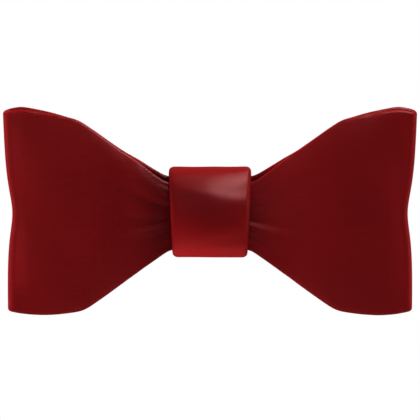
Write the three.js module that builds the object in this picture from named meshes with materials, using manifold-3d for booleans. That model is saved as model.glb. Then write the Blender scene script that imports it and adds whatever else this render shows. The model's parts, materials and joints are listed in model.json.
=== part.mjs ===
// A clip-on bow tie: one satin strip folded into two loops, pinched at the waist and bound with
// thread, a padded knot wrapped round the waist, and a sprung two-jaw collar clip sewn to the
// back of the knot. Sizes are in millimetres. +X is to the right seen from the front, +Y points
// back towards the wearer's collar and +Z is up. The origin is the middle of the rear face of the
// clip's base plate, where the tie sits on the collar.
import * as THREE from "three";
import { mergeVertices } from "three/addons/utils/BufferGeometryUtils.js";
import Module from "manifold-3d";

const wasm = await Module();
wasm.setup();

// ---------------------------------------------------------------- driving dimensions

const CLEARANCE = 0.3; // between pieces that touch or lie on each other

// Clip, a stamped base plate with two jaws.
const PLATE_LENGTH = 56;
const PLATE_HEIGHT = 11;
const PLATE_CORNER = 2;
const STEEL = 0.8; // sheet thickness of plate, ears and jaws
const HINGE_X = 13; // from the middle of the plate to each pin
const PIN_RADIUS = 0.75;
const PIN_PLAY = 0.25; // round the pin in its holes
const PIN_HEAD_RADIUS = 1.25;
const PIN_HEAD_HEIGHT = 0.5;
const EAR_RADIUS = 1.9;
const EAR_GAP = 0.4; // from the jaw's ears to the plate that they turn over
const LEG_ROOM = 0.7; // from the ears' round ends to the jaw's sheet, where the spring's leg lies
const LEVER_REACH = 9.2; // pin centre to the end of the lever
const LEVER_RISE = 5.0; // pin centre to the middle of the thumb pad's sheet
const THUMB_PAD = 2.9; // length of the flat thumb pad
const JAW_FLAT = [1.2, 1.6]; // flat of the jaw over the pin, to the lever's and the tip's side
const TIP_RUN = 3; // bent end of the jaw, which bites on the collar
const TIP_BEND = 0.9; // how much higher the bend is than the tip
const TIP_OVERHANG = 0.2; // how far the plate runs past the jaw's tip
const JAW_CORNER = 1.6;
const TOOTH_COUNT = 5;
const TOOTH_DEPTH = 0.9;
const SPRING_WIRE = 0.5;
const SPRING_PLAY = 0.4; // between the pin and the coil
const SPRING_PITCH = 0.7;
const SPRING_TURNS = 3;
const SPRING_LEG = 5.6;

// Knot, a padded band wrapped round the waist.
const KNOT_WIDTH_TOP = 23.8;
const KNOT_WIDTH_BOTTOM = 21.8;
const KNOT_TOP = 12.8; // above the middle of the clip
const KNOT_BOTTOM = -12.4;
const KNOT_WALL = 1.2;
const KNOT_CROWN = 0.6; // how far the middle of the front swells
const KNOT_FRONT_RADIUS = 3.6; // to the middle of the wall
const KNOT_BACK_RADIUS = 2.4;
const SEAM_PLACE = 0.75; // of the way from the plate's edge to where the wrap's back turns under
const PADDING_THICKNESS = 0.65;
const PADDING_MARGIN = 2.2; // from the padding's edge to the wrap's
const THREAD = 0.5; // sewing and binding thread, several strands together
const SEAM_THREAD = 0.4;
const SEAM_STITCHES = 10;
const STITCH_HEIGHT = 0.9; // of the seam's zigzag, above and below its middle
const STITCH_X = 2; // from the middle of the plate to each sewing hole
const STITCH_EDGE = 2.3; // from the plate's edge to each sewing hole
const STITCH_ROOM = 1; // behind the bound waist, in front of the sewing thread
const STITCH_HOLE_RADIUS = 0.6;

// Bow strip, a flat satin tube with an interlining in it.
const BOW_SPAN = 120;
const SATIN_PLY = 0.3;
const INTERLINING = 0.4;
const STRIP_THICKNESS = 2 * (SATIN_PLY + CLEARANCE) + INTERLINING;
const FOLD_RADIUS = 1.3; // outer folds, to the middle of the strip
const NOTCH_DEPTH = 2.2; // how far the middle of each outer fold is drawn in
const NOTCH_HALF_HEIGHT = 9;
const SLANT = 0.4; // how far the top of each outer fold leans out, and the bottom in
const WAIST_GAP_HALF = 2.6; // between the two leaves at the knot, to the middle of each
const WING_GAP_HALF = 1.1;
const WING_BULGE = 1.5; // extra swell of each leaf at the middle of a wing
const SWEEP_BACK = 2.2; // how far the outer folds lie behind the waist
const PLEAT_DEPTH_FRONT = 0.9;
const PLEAT_DEPTH_BACK = 0.4;
const PLEAT_SPACING = 1.1; // in half heights of the strip
const PLEAT_REACH = 20; // how far the pleats run out past the knot
const NECK_RUN = 1; // from the knot's sides to where the wings start to widen
const NECK_ROOM_TOP = 1.7; // above the strip inside the knot, at the knot's side
const NECK_ROOM_BOTTOM = 0.8;
const WAIST_TAPER = 0.07; // slope of both edges inside the knot
const BUTT_GAP = 0.8; // between the strip's two ends, behind the waist
const BINDING_TURNS = 3;
const BINDING_PITCH = 0.9;

// A wing's edges: heights of the peaks, and of the corners along the way, at points out from the
// middle or in from the outer end, each with the softness of its corner.
const WING_TOP = 31.2;
const WING_BOTTOM = 31.1;
const WING_END = BOW_SPAN / 2;
const TOP_EDGE = [
  [KNOT_WIDTH_TOP / 2 + NECK_RUN, KNOT_TOP - KNOT_WALL - NECK_ROOM_TOP, 1.5],
  [25, 17.6, 3],
  [38, WING_TOP - 4, 2],
  [WING_END - 5, WING_TOP, 1.6],
  [WING_END, WING_TOP - 1.4, 1],
];
const BOTTOM_EDGE = [
  [KNOT_WIDTH_BOTTOM / 2 + NECK_RUN, -KNOT_BOTTOM - KNOT_WALL - NECK_ROOM_BOTTOM, 1],
  [37, WING_BOTTOM - 1.9, 2],
  [WING_END - 11.5, WING_BOTTOM, 4],
  [WING_END - 4, WING_BOTTOM - 0.5, 3],
  [WING_END, WING_BOTTOM - 1.7, 1],
];

// ---------------------------------------------------------------- sizes that follow from these

const HINGE_RISE = EAR_RADIUS + EAR_GAP; // pin centre above the plate's rear face
const JAW_RISE = EAR_RADIUS + LEG_ROOM + STEEL / 2; // pin centre to the middle of the jaw's sheet
const PIN_HOLE_RADIUS = PIN_RADIUS + PIN_PLAY;
const SPRING_RADIUS = PIN_RADIUS + SPRING_PLAY + SPRING_WIRE / 2; // to the middle of the wire
const STITCH_Z = PLATE_HEIGHT / 2 - STITCH_EDGE;
const KNOT_SIDE = KNOT_WIDTH_TOP / 2;

// Depths from the plate forwards: the wrap's back, the bound waist, the padding, the wrap's front.
const BOUND = STRIP_THICKNESS / 2 + CLEARANCE + THREAD; // from a leaf's middle to outside its binding
const KNOT_BACK = -STEEL - CLEARANCE;
const KNOT_BACK_INSIDE = KNOT_BACK - KNOT_WALL;
const BOUND_BACK = KNOT_BACK_INSIDE - CLEARANCE - THREAD - STITCH_ROOM;
const WAIST_Y = BOUND_BACK - BOUND - PLEAT_DEPTH_BACK - WAIST_GAP_HALF; // middle of the waist
const BOUND_FRONT = WAIST_Y - WAIST_GAP_HALF - PLEAT_DEPTH_FRONT - BOUND;
const KNOT_FRONT_INSIDE = BOUND_FRONT - CLEARANCE - PADDING_THICKNESS - CLEARANCE;
const KNOT_FRONT = KNOT_FRONT_INSIDE - KNOT_WALL;

// ---------------------------------------------------------------- materials

const finish = (color, roughness, metalness) =>
  new THREE.MeshStandardMaterial({ color, roughness, metalness });
const SATIN = finish(0x7a1216, 0.42, 0);
const CANVAS = finish(0xe6dfd0, 0.9, 0);
const PADDING = finish(0xf2efe8, 0.95, 0);
const RED_THREAD = finish(0x6a0f13, 0.6, 0);
const NICKEL = finish(0xc9cacc, 0.28, 1);
const SPRING_STEEL = finish(0x9a9da2, 0.35, 1);

// ---------------------------------------------------------------- solids

/** A closed three.js geometry as a manifold-3d solid. */
function solid(geometry) {
  const bare = geometry.clone();
  for (const name of ["normal", "uv"]) bare.deleteAttribute(name);
  const merged = mergeVertices(bare, 1e-4);
  return new wasm.Manifold(
    new wasm.Mesh({
      numProp: 3,
      vertProperties: merged.attributes.position.array,
      triVerts: new Uint32Array(merged.index.array),
    }),
  );
}

/** A manifold-3d solid as a three.js geometry. */
function geometryOf(made) {
  const { vertProperties, triVerts } = made.getMesh();
  const geometry = new THREE.BufferGeometry();
  geometry.setAttribute("position", new THREE.BufferAttribute(vertProperties, 3));
  geometry.setIndex(new THREE.BufferAttribute(triVerts, 1));
  geometry.computeVertexNormals();
  return geometry;
}

/** A named mesh added to a group. */
function add(group, name, geometry, material) {
  const mesh = new THREE.Mesh(geometry, material);
  mesh.name = name;
  group.add(mesh);
  return mesh;
}

/** A round bar along Z, centred on z = 0. */
function bar(radius, length, x = 0, y = 0, sides = 20) {
  const geometry = new THREE.CylinderGeometry(radius, radius, length, sides);
  return geometry.rotateX(Math.PI / 2).translate(x, y, 0);
}

/** A rectangle in X and Y with round corners. */
function roundedRectangle(width, height, radius) {
  const shape = new THREE.Shape();
  const x = width / 2 - radius;
  const y = height / 2 - radius;
  shape.absarc(x, y, radius, 0, Math.PI / 2);
  shape.absarc(-x, y, radius, Math.PI / 2, Math.PI);
  shape.absarc(-x, -y, radius, Math.PI, 1.5 * Math.PI);
  shape.absarc(x, -y, radius, 1.5 * Math.PI, 2 * Math.PI);
  return shape;
}

/** A flat slab whose outline is drawn in X and Z, from y = back - thickness to y = back. */
function slab(shape, thickness, back) {
  const geometry = new THREE.ExtrudeGeometry(shape, {
    depth: thickness,
    bevelEnabled: false,
    curveSegments: 5,
  });
  return geometry.rotateX(Math.PI / 2).translate(0, back, 0);
}

/** Triangles between neighbouring rings of points, each ring closed on itself. */
function sides(rings, first, flip) {
  const count = rings[0].length;
  const triangles = [];
  for (let i = 0; i < rings.length - 1; i++)
    for (let k = 0; k < count; k++) {
      const a = first + i * count + k;
      const b = first + i * count + ((k + 1) % count);
      const c = a + count;
      const d = b + count;
      triangles.push(...(flip ? [a, c, b, b, c, d] : [a, b, c, b, d, c]));
    }
  return triangles;
}

/** A geometry from rings of points and a list of triangles. */
function fromRings(rings, triangles) {
  const points = rings.flat();
  const geometry = new THREE.BufferGeometry().setFromPoints(points);
  geometry.setIndex(triangles);
  geometry.computeVertexNormals();
  return geometry;
}

/** A solid band through rings that run out along one face and back along the other. */
function band(rings) {
  const count = rings[0].length;
  const last = (rings.length - 1) * count;
  const triangles = sides(rings, 0, false);
  for (let k = 0; k < count / 2 - 1; k++) {
    const [a, b, c, d] = [k, k + 1, count - 1 - k, count - 2 - k];
    triangles.push(a, c, b, b, c, d, last + a, last + b, last + c, last + b, last + d, last + c);
  }
  return fromRings(rings, triangles);
}

/** A tube with an outer and an inner skin, open at both ends. */
function hollowBand(outer, inner) {
  const count = outer[0].length;
  const start = outer.length * count;
  const last = (outer.length - 1) * count;
  const triangles = [...sides(outer, 0, false), ...sides(inner, start, true)];
  for (let k = 0; k < count; k++) {
    const next = (k + 1) % count;
    triangles.push(k, start + k, next, next, start + k, start + next);
    const [a, b] = [last + k, last + next];
    triangles.push(a, b, start + a, b, start + b, start + a);
  }
  return fromRings([...outer, ...inner], triangles);
}

// ---------------------------------------------------------------- the bow strip's shape

const smooth = (from, to, x) => THREE.MathUtils.smoothstep(x, from, to);
const mix = THREE.MathUtils.lerp;

/** An edge's height at x: straight runs between its points, each corner rounded by a hyperbola. */
function edgeHeight(points, x) {
  let [height, slope] = [points[0][1] + WAIST_TAPER * (x - points[0][0]), WAIST_TAPER];
  points.slice(0, -1).forEach(([x0, z0, softness], k) => {
    const [x1, z1] = points[k + 1];
    const next = (z1 - z0) / (x1 - x0);
    height += ((next - slope) * (x - x0 + Math.hypot(x - x0, softness))) / 2;
    slope = next;
  });
  return height;
}

/** Height of the strip's middle line across, at x and v, which runs from -1 at the bottom edge to 1. */
function heightAt(x, v) {
  const top = edgeHeight(TOP_EDGE, x) - STRIP_THICKNESS / 2;
  const bottom = -edgeHeight(BOTTOM_EDGE, x) + STRIP_THICKNESS / 2;
  return mix(bottom, top, (v + 1) / 2);
}

/** Where the outer fold's arc starts, which is nearer the waist at mid height. */
function foldStart(v) {
  const z = heightAt(BOW_SPAN / 2, v);
  const notch = NOTCH_DEPTH / (1 + (z / NOTCH_HALF_HEIGHT) ** 2);
  return BOW_SPAN / 2 + SLANT * v - notch - STRIP_THICKNESS / 2 - FOLD_RADIUS;
}

/** Depth of the surface midway between a wing's two leaves. */
function middleY(x) {
  const share = Math.max(0, (x - KNOT_SIDE) / (BOW_SPAN / 2 - KNOT_SIDE));
  return WAIST_Y + SWEEP_BACK * share ** 2;
}

/** Half the distance between a wing's two leaves. */
function gapHalf(x, v) {
  const end = foldStart(v);
  const neck = mix(WAIST_GAP_HALF, WING_GAP_HALF, smooth(KNOT_SIDE, KNOT_SIDE + 14, x));
  const edge = mix(neck, FOLD_RADIUS, smooth(0.6 * end, end, x));
  const along = THREE.MathUtils.clamp((x - KNOT_SIDE) / (end - KNOT_SIDE), 0, 1);
  return edge + WING_BULGE * (1 - v * v) * Math.sin(Math.PI * along) ** 2;
}

/** How far the pleats push a leaf outwards. Ridges lie at v = 0.72 and a spacing below it. */
function pleat(x, v, front) {
  const fade = 1 - smooth(KNOT_SIDE - 2, KNOT_SIDE + PLEAT_REACH, x);
  const [depth, ridge] = front ? [PLEAT_DEPTH_FRONT, 0.72] : [PLEAT_DEPTH_BACK, 0.2];
  return depth * fade * Math.cos((2 * Math.PI * (v - ridge)) / PLEAT_SPACING);
}

/** A point on a leaf's middle surface. x is signed, and share runs along |x| to the fold's start. */
function leafPoint(share, v, front, mirror) {
  const x = share * foldStart(v);
  const out = gapHalf(x, v) + pleat(x, v, front);
  return new THREE.Vector3(mirror * x, middleY(x) + (front ? -out : out), heightAt(x, v));
}

/** A point on an outer fold's middle surface, at an angle from the front leaf's side. */
function foldPoint(angle, v, mirror) {
  const x = foldStart(v) + FOLD_RADIUS * Math.sin(angle);
  const y = middleY(x) - FOLD_RADIUS * Math.cos(angle);
  return new THREE.Vector3(mirror * x, y, heightAt(x, v));
}

/** The strip's middle surface as functions of v, one a station, from the right back end to the left. */
function stripStations() {
  const shares = [0.05, 0.12, 0.18, 0.23, 0.28, 0.34, 0.43, 0.54, 0.66, 0.8, 0.93];
  const foldAngles = [0, 1, 2, 3, 4].map((k) => (k * Math.PI) / 4);
  const end = BUTT_GAP / 2;
  const backLeaf = (mirror) => [
    (v) => leafPoint(end / foldStart(v), v, false, mirror),
    ...shares.map((share) => (v) => leafPoint(share, v, false, mirror)),
  ];
  const fold = (mirror) => foldAngles.map((angle) => (v) => foldPoint(angle, v, mirror));
  const frontLeaf = (mirror) => shares.map((share) => (v) => leafPoint(share, v, true, mirror));
  return [
    ...backLeaf(1),
    ...fold(1).reverse(),
    ...frontLeaf(1).reverse(),
    (v) => leafPoint(0, v, true, 1),
    ...frontLeaf(-1),
    ...fold(-1),
    ...backLeaf(-1).reverse(),
  ];
}

/** Rings round the strip at a distance from its middle surface, with round or square edges. */
function stripRings(distance, roundEdges, shareOfHeight = 1) {
  const across = 8;
  const stations = stripStations();
  const step = 1e-3;
  const outwards = (i, v) => {
    const before = stations[Math.max(i - 1, 0)](v);
    const after = stations[Math.min(i + 1, stations.length - 1)](v);
    const up = stations[i](v + step).sub(stations[i](v - step)).normalize();
    const normal = up.clone().cross(after.sub(before)).normalize();
    return [normal, up];
  };
  return stations.map((station, i) => {
    const ring = [];
    const place = (v, along, sideways) => {
      const [normal, up] = outwards(i, v);
      const point = station(v).addScaledVector(normal, along * distance);
      ring.push(point.addScaledVector(up, sideways * distance));
    };
    for (let k = 0; k <= across; k++) place(shareOfHeight * ((2 * k) / across - 1), 1, 0);
    if (roundEdges) place(shareOfHeight, 0, 1);
    for (let k = across; k >= 0; k--) place(shareOfHeight * ((2 * k) / across - 1), -1, 0);
    if (roundEdges) place(-shareOfHeight, 0, -1);
    return ring;
  });
}

function stripSatin() {
  const outside = stripRings(STRIP_THICKNESS / 2, true);
  const inside = stripRings(STRIP_THICKNESS / 2 - SATIN_PLY, true);
  return hollowBand(outside, inside);
}

function stripInterlining() {
  return band(stripRings(INTERLINING / 2, false, 0.99));
}

// ---------------------------------------------------------------- the knot

/** Height of the wrap's closing seam on its back. */
const SEAM_Z = mix(-PLATE_HEIGHT / 2, KNOT_BOTTOM + KNOT_WALL / 2 + KNOT_BACK_RADIUS, SEAM_PLACE);

/** The middle of the wrap's wall in Y and Z, from the seam's upper side round to its lower side. */
function wrapLine() {
  const wall = KNOT_WALL / 2;
  const [front, back] = [KNOT_FRONT + wall, KNOT_BACK - wall];
  const [top, bottom] = [KNOT_TOP - wall, KNOT_BOTTOM + wall];
  const [rf, rb] = [KNOT_FRONT_RADIUS, KNOT_BACK_RADIUS];
  const corner = (y, z, r, from) =>
    [0, 1, 2, 3, 4].map((k) => {
      const angle = from + (k * Math.PI) / 8;
      return new THREE.Vector2(y + r * Math.cos(angle), z + r * Math.sin(angle));
    });
  return [
    new THREE.Vector2(back, SEAM_Z + CLEARANCE / 2),
    new THREE.Vector2(back, mix(SEAM_Z, top, 0.5)),
    ...corner(back - rb, top - rb, rb, 0),
    ...corner(front + rf, top - rf, rf, Math.PI / 2),
    new THREE.Vector2(front, mix(bottom, top, 0.5)),
    ...corner(front + rf, bottom + rf, rf, Math.PI),
    ...corner(back - rb, bottom + rb, rb, 1.5 * Math.PI),
    new THREE.Vector2(back, SEAM_Z - CLEARANCE / 2),
  ];
}

/** Rings along the wrap, each running across it outside and back inside. */
function wrapRings() {
  const across = 6;
  const line = wrapLine();
  return line.map((point, i) => {
    const before = line[Math.max(i - 1, 0)];
    const after = line[Math.min(i + 1, line.length - 1)];
    const along = after.clone().sub(before).normalize();
    const normal = new THREE.Vector2(along.y, -along.x);
    const share = (point.y - KNOT_BOTTOM) / (KNOT_TOP - KNOT_BOTTOM);
    const half = mix(KNOT_WIDTH_BOTTOM, KNOT_WIDTH_TOP, share) / 2 - KNOT_WALL / 2;
    const swell = KNOT_CROWN * (1 - smooth(KNOT_FRONT, KNOT_BACK, point.x));
    const ring = [];
    const place = (x, offset) => {
      const out = offset + swell * (1 - (x / half) ** 2);
      ring.push(new THREE.Vector3(x, point.x + out * normal.x, point.y + out * normal.y));
    };
    for (let k = 0; k <= across; k++) place(half * (1 - (2 * k) / across), KNOT_WALL / 2);
    ring.push(new THREE.Vector3(-half - KNOT_WALL / 2, point.x, point.y));
    for (let k = across; k >= 0; k--) place(half * (1 - (2 * k) / across), -KNOT_WALL / 2);
    ring.push(new THREE.Vector3(half + KNOT_WALL / 2, point.x, point.y));
    return ring;
  });
}

/** Bars through the four sewing holes of the plate and the wrap's back. */
function stitchBars() {
  const depth = 4 * (KNOT_WALL + STEEL + CLEARANCE);
  return [-1, 1].flatMap((a) =>
    [-1, 1].map((b) => {
      const hole = new THREE.CylinderGeometry(STITCH_HOLE_RADIUS, STITCH_HOLE_RADIUS, depth, 12);
      return solid(hole.translate(a * STITCH_X, KNOT_BACK_INSIDE, b * STITCH_Z));
    }),
  );
}

function knotWrap() {
  const wrap = solid(band(wrapRings()));
  return geometryOf(stitchBars().reduce((left, hole) => left.subtract(hole), wrap));
}

function knotPadding() {
  const width = KNOT_WIDTH_BOTTOM - 2 * PADDING_MARGIN;
  const height = KNOT_TOP - KNOT_BOTTOM - 2 * (KNOT_WALL + PADDING_MARGIN);
  const back = KNOT_FRONT_INSIDE + CLEARANCE + PADDING_THICKNESS;
  const sheet = slab(roundedRectangle(width, height, 2), PADDING_THICKNESS, back);
  return sheet.translate(0, 0, (KNOT_TOP + KNOT_BOTTOM) / 2);
}

/** A round thread along a curve, with flat ends. */
function thread(curve, diameter, steps, facets = 8) {
  const section = new THREE.Shape();
  for (let k = 0; k < facets; k++) {
    const angle = (2 * Math.PI * k) / facets;
    const [x, y] = [(diameter / 2) * Math.cos(angle), (diameter / 2) * Math.sin(angle)];
    if (k) section.lineTo(x, y);
    else section.moveTo(x, y);
  }
  return new THREE.ExtrudeGeometry(section, { steps, extrudePath: curve, bevelEnabled: false });
}

/** Thread wound round the pinched waist, clear of the pleats and of the knot's padding. */
function bindingThread() {
  const [front, back] = [BOUND_FRONT + THREAD / 2, BOUND_BACK - THREAD / 2];
  const rim = CLEARANCE + THREAD / 2;
  const end = (BINDING_TURNS * BINDING_PITCH) / 2 + THREAD;
  const top = edgeHeight(TOP_EDGE, end) + rim;
  const bottom = -edgeHeight(BOTTOM_EDGE, end) - rim;
  const corners = [
    [front, top],
    [front, bottom],
    [back, bottom],
    [back, top],
  ];
  const points = [];
  for (let k = 0; k <= 4 * BINDING_TURNS; k++) {
    const [y, z] = corners[k % 4];
    const x = BINDING_PITCH * (k / 4 - BINDING_TURNS / 2);
    points.push(new THREE.Vector3(x, y, z));
  }
  const path = new THREE.CurvePath();
  points.slice(1).forEach((point, k) => path.add(new THREE.LineCurve3(points[k], point)));
  return thread(path, THREAD, 20 * BINDING_TURNS, 6);
}

/** Whip stitches that close the wrap's seam, as the zigzag that shows. */
function seamThread() {
  const half = KNOT_WIDTH_BOTTOM / 2 - KNOT_WALL - SEAM_THREAD;
  const y = KNOT_BACK + CLEARANCE + SEAM_THREAD / 2;
  const points = [];
  for (let k = 0; k <= 2 * SEAM_STITCHES; k++) {
    const x = mix(-half, half, k / (2 * SEAM_STITCHES));
    points.push(new THREE.Vector3(x, y, SEAM_Z + (k % 2 ? STITCH_HEIGHT : -STITCH_HEIGHT)));
  }
  return thread(new THREE.CatmullRomCurve3(points), SEAM_THREAD, 6 * SEAM_STITCHES, 6);
}

/** A loop of thread through an upper and a lower sewing hole, with its ends meeting inside the knot. */
function clipStitch(x) {
  const [front, back] = [KNOT_BACK_INSIDE - CLEARANCE - THREAD / 2, CLEARANCE + THREAD / 2];
  const corner = THREAD;
  const point = (y, z) => new THREE.Vector3(x, y, z);
  const bend = (y, z, from) =>
    [0, 1, 2].map((k) => {
      const angle = from + (k * Math.PI) / 4;
      return point(y + corner * Math.cos(angle), z + corner * Math.sin(angle));
    });
  const z = STITCH_Z - corner;
  const loop = new THREE.CatmullRomCurve3(
    [
      point(front, -CLEARANCE / 2),
      ...bend(front + corner, -z, Math.PI),
      ...bend(back - corner, -z, 1.5 * Math.PI),
      ...bend(back - corner, z, 0),
      ...bend(front + corner, z, Math.PI / 2),
      point(front, CLEARANCE / 2),
    ],
    false,
    "centripetal",
  );
  return thread(loop, THREAD, 32, 6);
}

// ---------------------------------------------------------------- the clip

/** A half-round ear round a pin, reaching from the pin to a height, at a distance up the pin. */
function ear(reach, z) {
  const shape = new THREE.Shape();
  const turn = reach < 0 ? 0 : Math.PI;
  shape.absarc(0, 0, EAR_RADIUS, turn, turn + Math.PI);
  shape.lineTo(reach < 0 ? -EAR_RADIUS : EAR_RADIUS, reach);
  shape.lineTo(reach < 0 ? EAR_RADIUS : -EAR_RADIUS, reach);
  const options = { depth: STEEL, bevelEnabled: false, curveSegments: 10 };
  return solid(new THREE.ExtrudeGeometry(shape, options).translate(0, 0, z - STEEL / 2));
}

const PLATE_EAR_Z = (PLATE_HEIGHT - STEEL) / 2;
const JAW_EAR_Z = PLATE_EAR_Z - STEEL - CLEARANCE;
const join = (solids) => solids.reduce((all, next) => all.add(next));
const pinHole = (length) => solid(bar(PIN_HOLE_RADIUS, length));

/** The stamped plate, with an ear at each side of both hinges and four sewing holes. */
function basePlate() {
  const outline = roundedRectangle(PLATE_LENGTH, PLATE_HEIGHT, PLATE_CORNER);
  const reach = -HINGE_RISE - STEEL / 2;
  const ears = [-1, 1].map((mirror) => {
    const pair = join([ear(reach, PLATE_EAR_Z), ear(reach, -PLATE_EAR_Z)]);
    return pair.subtract(pinHole(2 * PLATE_HEIGHT)).translate([mirror * HINGE_X, HINGE_RISE, 0]);
  });
  const plate = join([solid(slab(outline, STEEL, 0)), ...ears]);
  return geometryOf(stitchBars().reduce((left, hole) => left.subtract(hole), plate));
}

/** The middle line of a jaw's sheet from the lever's end to the tip, seen along its pin. */
function jawLine() {
  const tip = PLATE_LENGTH / 2 - HINGE_X - TIP_OVERHANG;
  const low = -HINGE_RISE + CLEARANCE + STEEL / 2;
  return [
    [-LEVER_REACH, LEVER_RISE],
    [-LEVER_REACH + THUMB_PAD, LEVER_RISE],
    [-JAW_FLAT[0], JAW_RISE],
    [JAW_FLAT[1], JAW_RISE],
    [tip - TIP_RUN, low + TIP_BEND],
    [tip, low],
  ].map(([x, y]) => new THREE.Vector2(x, y));
}

/** The two sides of a sheet of even thickness along a line of straight runs. */
function sheetOutline(line, thickness) {
  const side = (sign) =>
    line.map((point, i) => {
      const runs = [line[i - 1], line[i + 1]].map((other, k) =>
        other ? (k ? other.clone().sub(point) : point.clone().sub(other)).normalize() : null,
      );
      const [a, b] = [runs[0] ?? runs[1], runs[1] ?? runs[0]];
      const normal = new THREE.Vector2(-(a.y + b.y), a.x + b.x).normalize();
      const stretch = thickness / 2 / Math.sqrt((1 + a.dot(b)) / 2);
      return point.clone().addScaledVector(normal, sign * stretch);
    });
  return new THREE.Shape([...side(-1), ...side(1).reverse()]);
}

/** A jaw about its pin: thumb pad, sheet, two ears and a toothed tip. */
function jaw() {
  const line = jawLine();
  const sheet = new THREE.ExtrudeGeometry(sheetOutline(line, STEEL), {
    depth: PLATE_HEIGHT,
    bevelEnabled: false,
  });
  const tip = line.at(-1).x + STEEL;
  const length = LEVER_REACH + tip;
  const deep = 4 * LEVER_RISE;
  const plan = slab(roundedRectangle(length, PLATE_HEIGHT, JAW_CORNER), deep, deep / 2);
  plan.translate(tip - length / 2, 0, 0);
  const pair = join([ear(JAW_RISE, JAW_EAR_Z), ear(JAW_RISE, -JAW_EAR_Z)]);
  const pitch = PLATE_HEIGHT / (TOOTH_COUNT + 1);
  const notch = new THREE.CylinderGeometry(TOOTH_DEPTH, TOOTH_DEPTH, deep, 4);
  const notches = Array.from({ length: TOOTH_COUNT }, (_, k) =>
    solid(notch.clone().translate(line.at(-1).x, 0, (k - (TOOTH_COUNT - 1) / 2) * pitch)),
  );
  const cut = solid(sheet.translate(0, 0, -PLATE_HEIGHT / 2)).intersect(solid(plan));
  const whole = join([cut, pair.subtract(pinHole(PLATE_HEIGHT))]);
  return geometryOf(notches.reduce((left, tooth) => left.subtract(tooth), whole));
}

/** A headed pin along Z, peened over at its lower end. */
function hingePin() {
  const end = PLATE_HEIGHT / 2 + CLEARANCE;
  const profile = [
    [0, -end - PIN_HEAD_HEIGHT],
    [0.75 * PIN_HEAD_RADIUS, -end - PIN_HEAD_HEIGHT],
    [PIN_HEAD_RADIUS, -end - PIN_HEAD_HEIGHT / 2],
    [PIN_HEAD_RADIUS, -end],
    [PIN_RADIUS, -end],
    [PIN_RADIUS, end],
    [PIN_HEAD_RADIUS, end],
    [PIN_HEAD_RADIUS, end + PIN_HEAD_HEIGHT / 2],
    [0.75 * PIN_HEAD_RADIUS, end + PIN_HEAD_HEIGHT],
    [0, end + PIN_HEAD_HEIGHT],
  ].map(([r, y]) => new THREE.Vector2(r, y));
  return new THREE.LatheGeometry(profile, 16).rotateX(Math.PI / 2);
}

/** The torsion spring's wire: a leg on the plate, turns round the pin and a leg under the lever. */
class SpringLine extends THREE.Curve {
  constructor() {
    super();
    const seat = CLEARANCE + SPRING_WIRE / 2;
    this.down = Math.asin((SPRING_RADIUS - HINGE_RISE + seat) / SPRING_LEG);
    this.rise = Math.atan2(LEVER_RISE - JAW_RISE, LEVER_REACH - THUMB_PAD - JAW_FLAT[0]);
    this.from = -Math.PI / 2 - this.down;
    this.to = Math.PI / 2 - this.rise + 2 * Math.PI * SPRING_TURNS;
    this.coil = (this.to - this.from) * SPRING_RADIUS;
    this.length = this.coil + 2 * SPRING_LEG;
  }

  getPoint(t, target = new THREE.Vector3()) {
    const along = t * this.length - SPRING_LEG;
    const turned = THREE.MathUtils.clamp(along, 0, this.coil);
    const angle = this.from + turned / SPRING_RADIUS;
    const beyond = along - turned;
    const z = (SPRING_PITCH * (turned - this.coil / 2)) / (2 * Math.PI * SPRING_RADIUS);
    return target.set(
      SPRING_RADIUS * Math.cos(angle) - beyond * Math.sin(angle),
      SPRING_RADIUS * Math.sin(angle) + beyond * Math.cos(angle),
      z,
    );
  }
}

// ---------------------------------------------------------------- assembly

const bowTie = new THREE.Group();

const bow = new THREE.Group();
add(bow, "bow_strip_satin", stripSatin(), SATIN);
add(bow, "bow_strip_interlining", stripInterlining(), CANVAS);
add(bow, "waist_binding_thread", bindingThread(), RED_THREAD);
bowTie.add(bow);

const knot = new THREE.Group();
add(knot, "knot_wrap_satin", knotWrap(), SATIN);
add(knot, "knot_padding", knotPadding(), PADDING);
add(knot, "knot_seam_thread", seamThread(), RED_THREAD);
bowTie.add(knot);

const clip = new THREE.Group();
add(clip, "clip_base_plate", basePlate(), NICKEL);
add(clip, "clip_stitch_left", clipStitch(-STITCH_X), RED_THREAD);
add(clip, "clip_stitch_right", clipStitch(STITCH_X), RED_THREAD);
for (const [side, mirror] of [["left", -1], ["right", 1]]) {
  const hinge = new THREE.Group();
  hinge.position.set(mirror * HINGE_X, HINGE_RISE, 0);
  if (mirror < 0) hinge.rotation.y = Math.PI;
  add(hinge, `${side}_jaw`, jaw(), NICKEL);
  add(hinge, `${side}_hinge_pin`, hingePin(), NICKEL);
  add(hinge, `${side}_torsion_spring`, thread(new SpringLine(), SPRING_WIRE, 72, 6), SPRING_STEEL);
  clip.add(hinge);
}
bowTie.add(clip);

export default bowTie;
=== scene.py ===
"""Looks of a clip-on bow tie: a red satin strip folded into two loops and pinched by a padded
knot, with a sprung two-jaw collar clip sewn behind it.

Lengths inside the classes are in millimetres and become metres when a mesh is made. +X is to the
right seen from the front, +Y points back towards the collar and +Z is up.
"""

import json
import logging
import math
from dataclasses import dataclass, field
from enum import Enum
from typing import ClassVar

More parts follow.
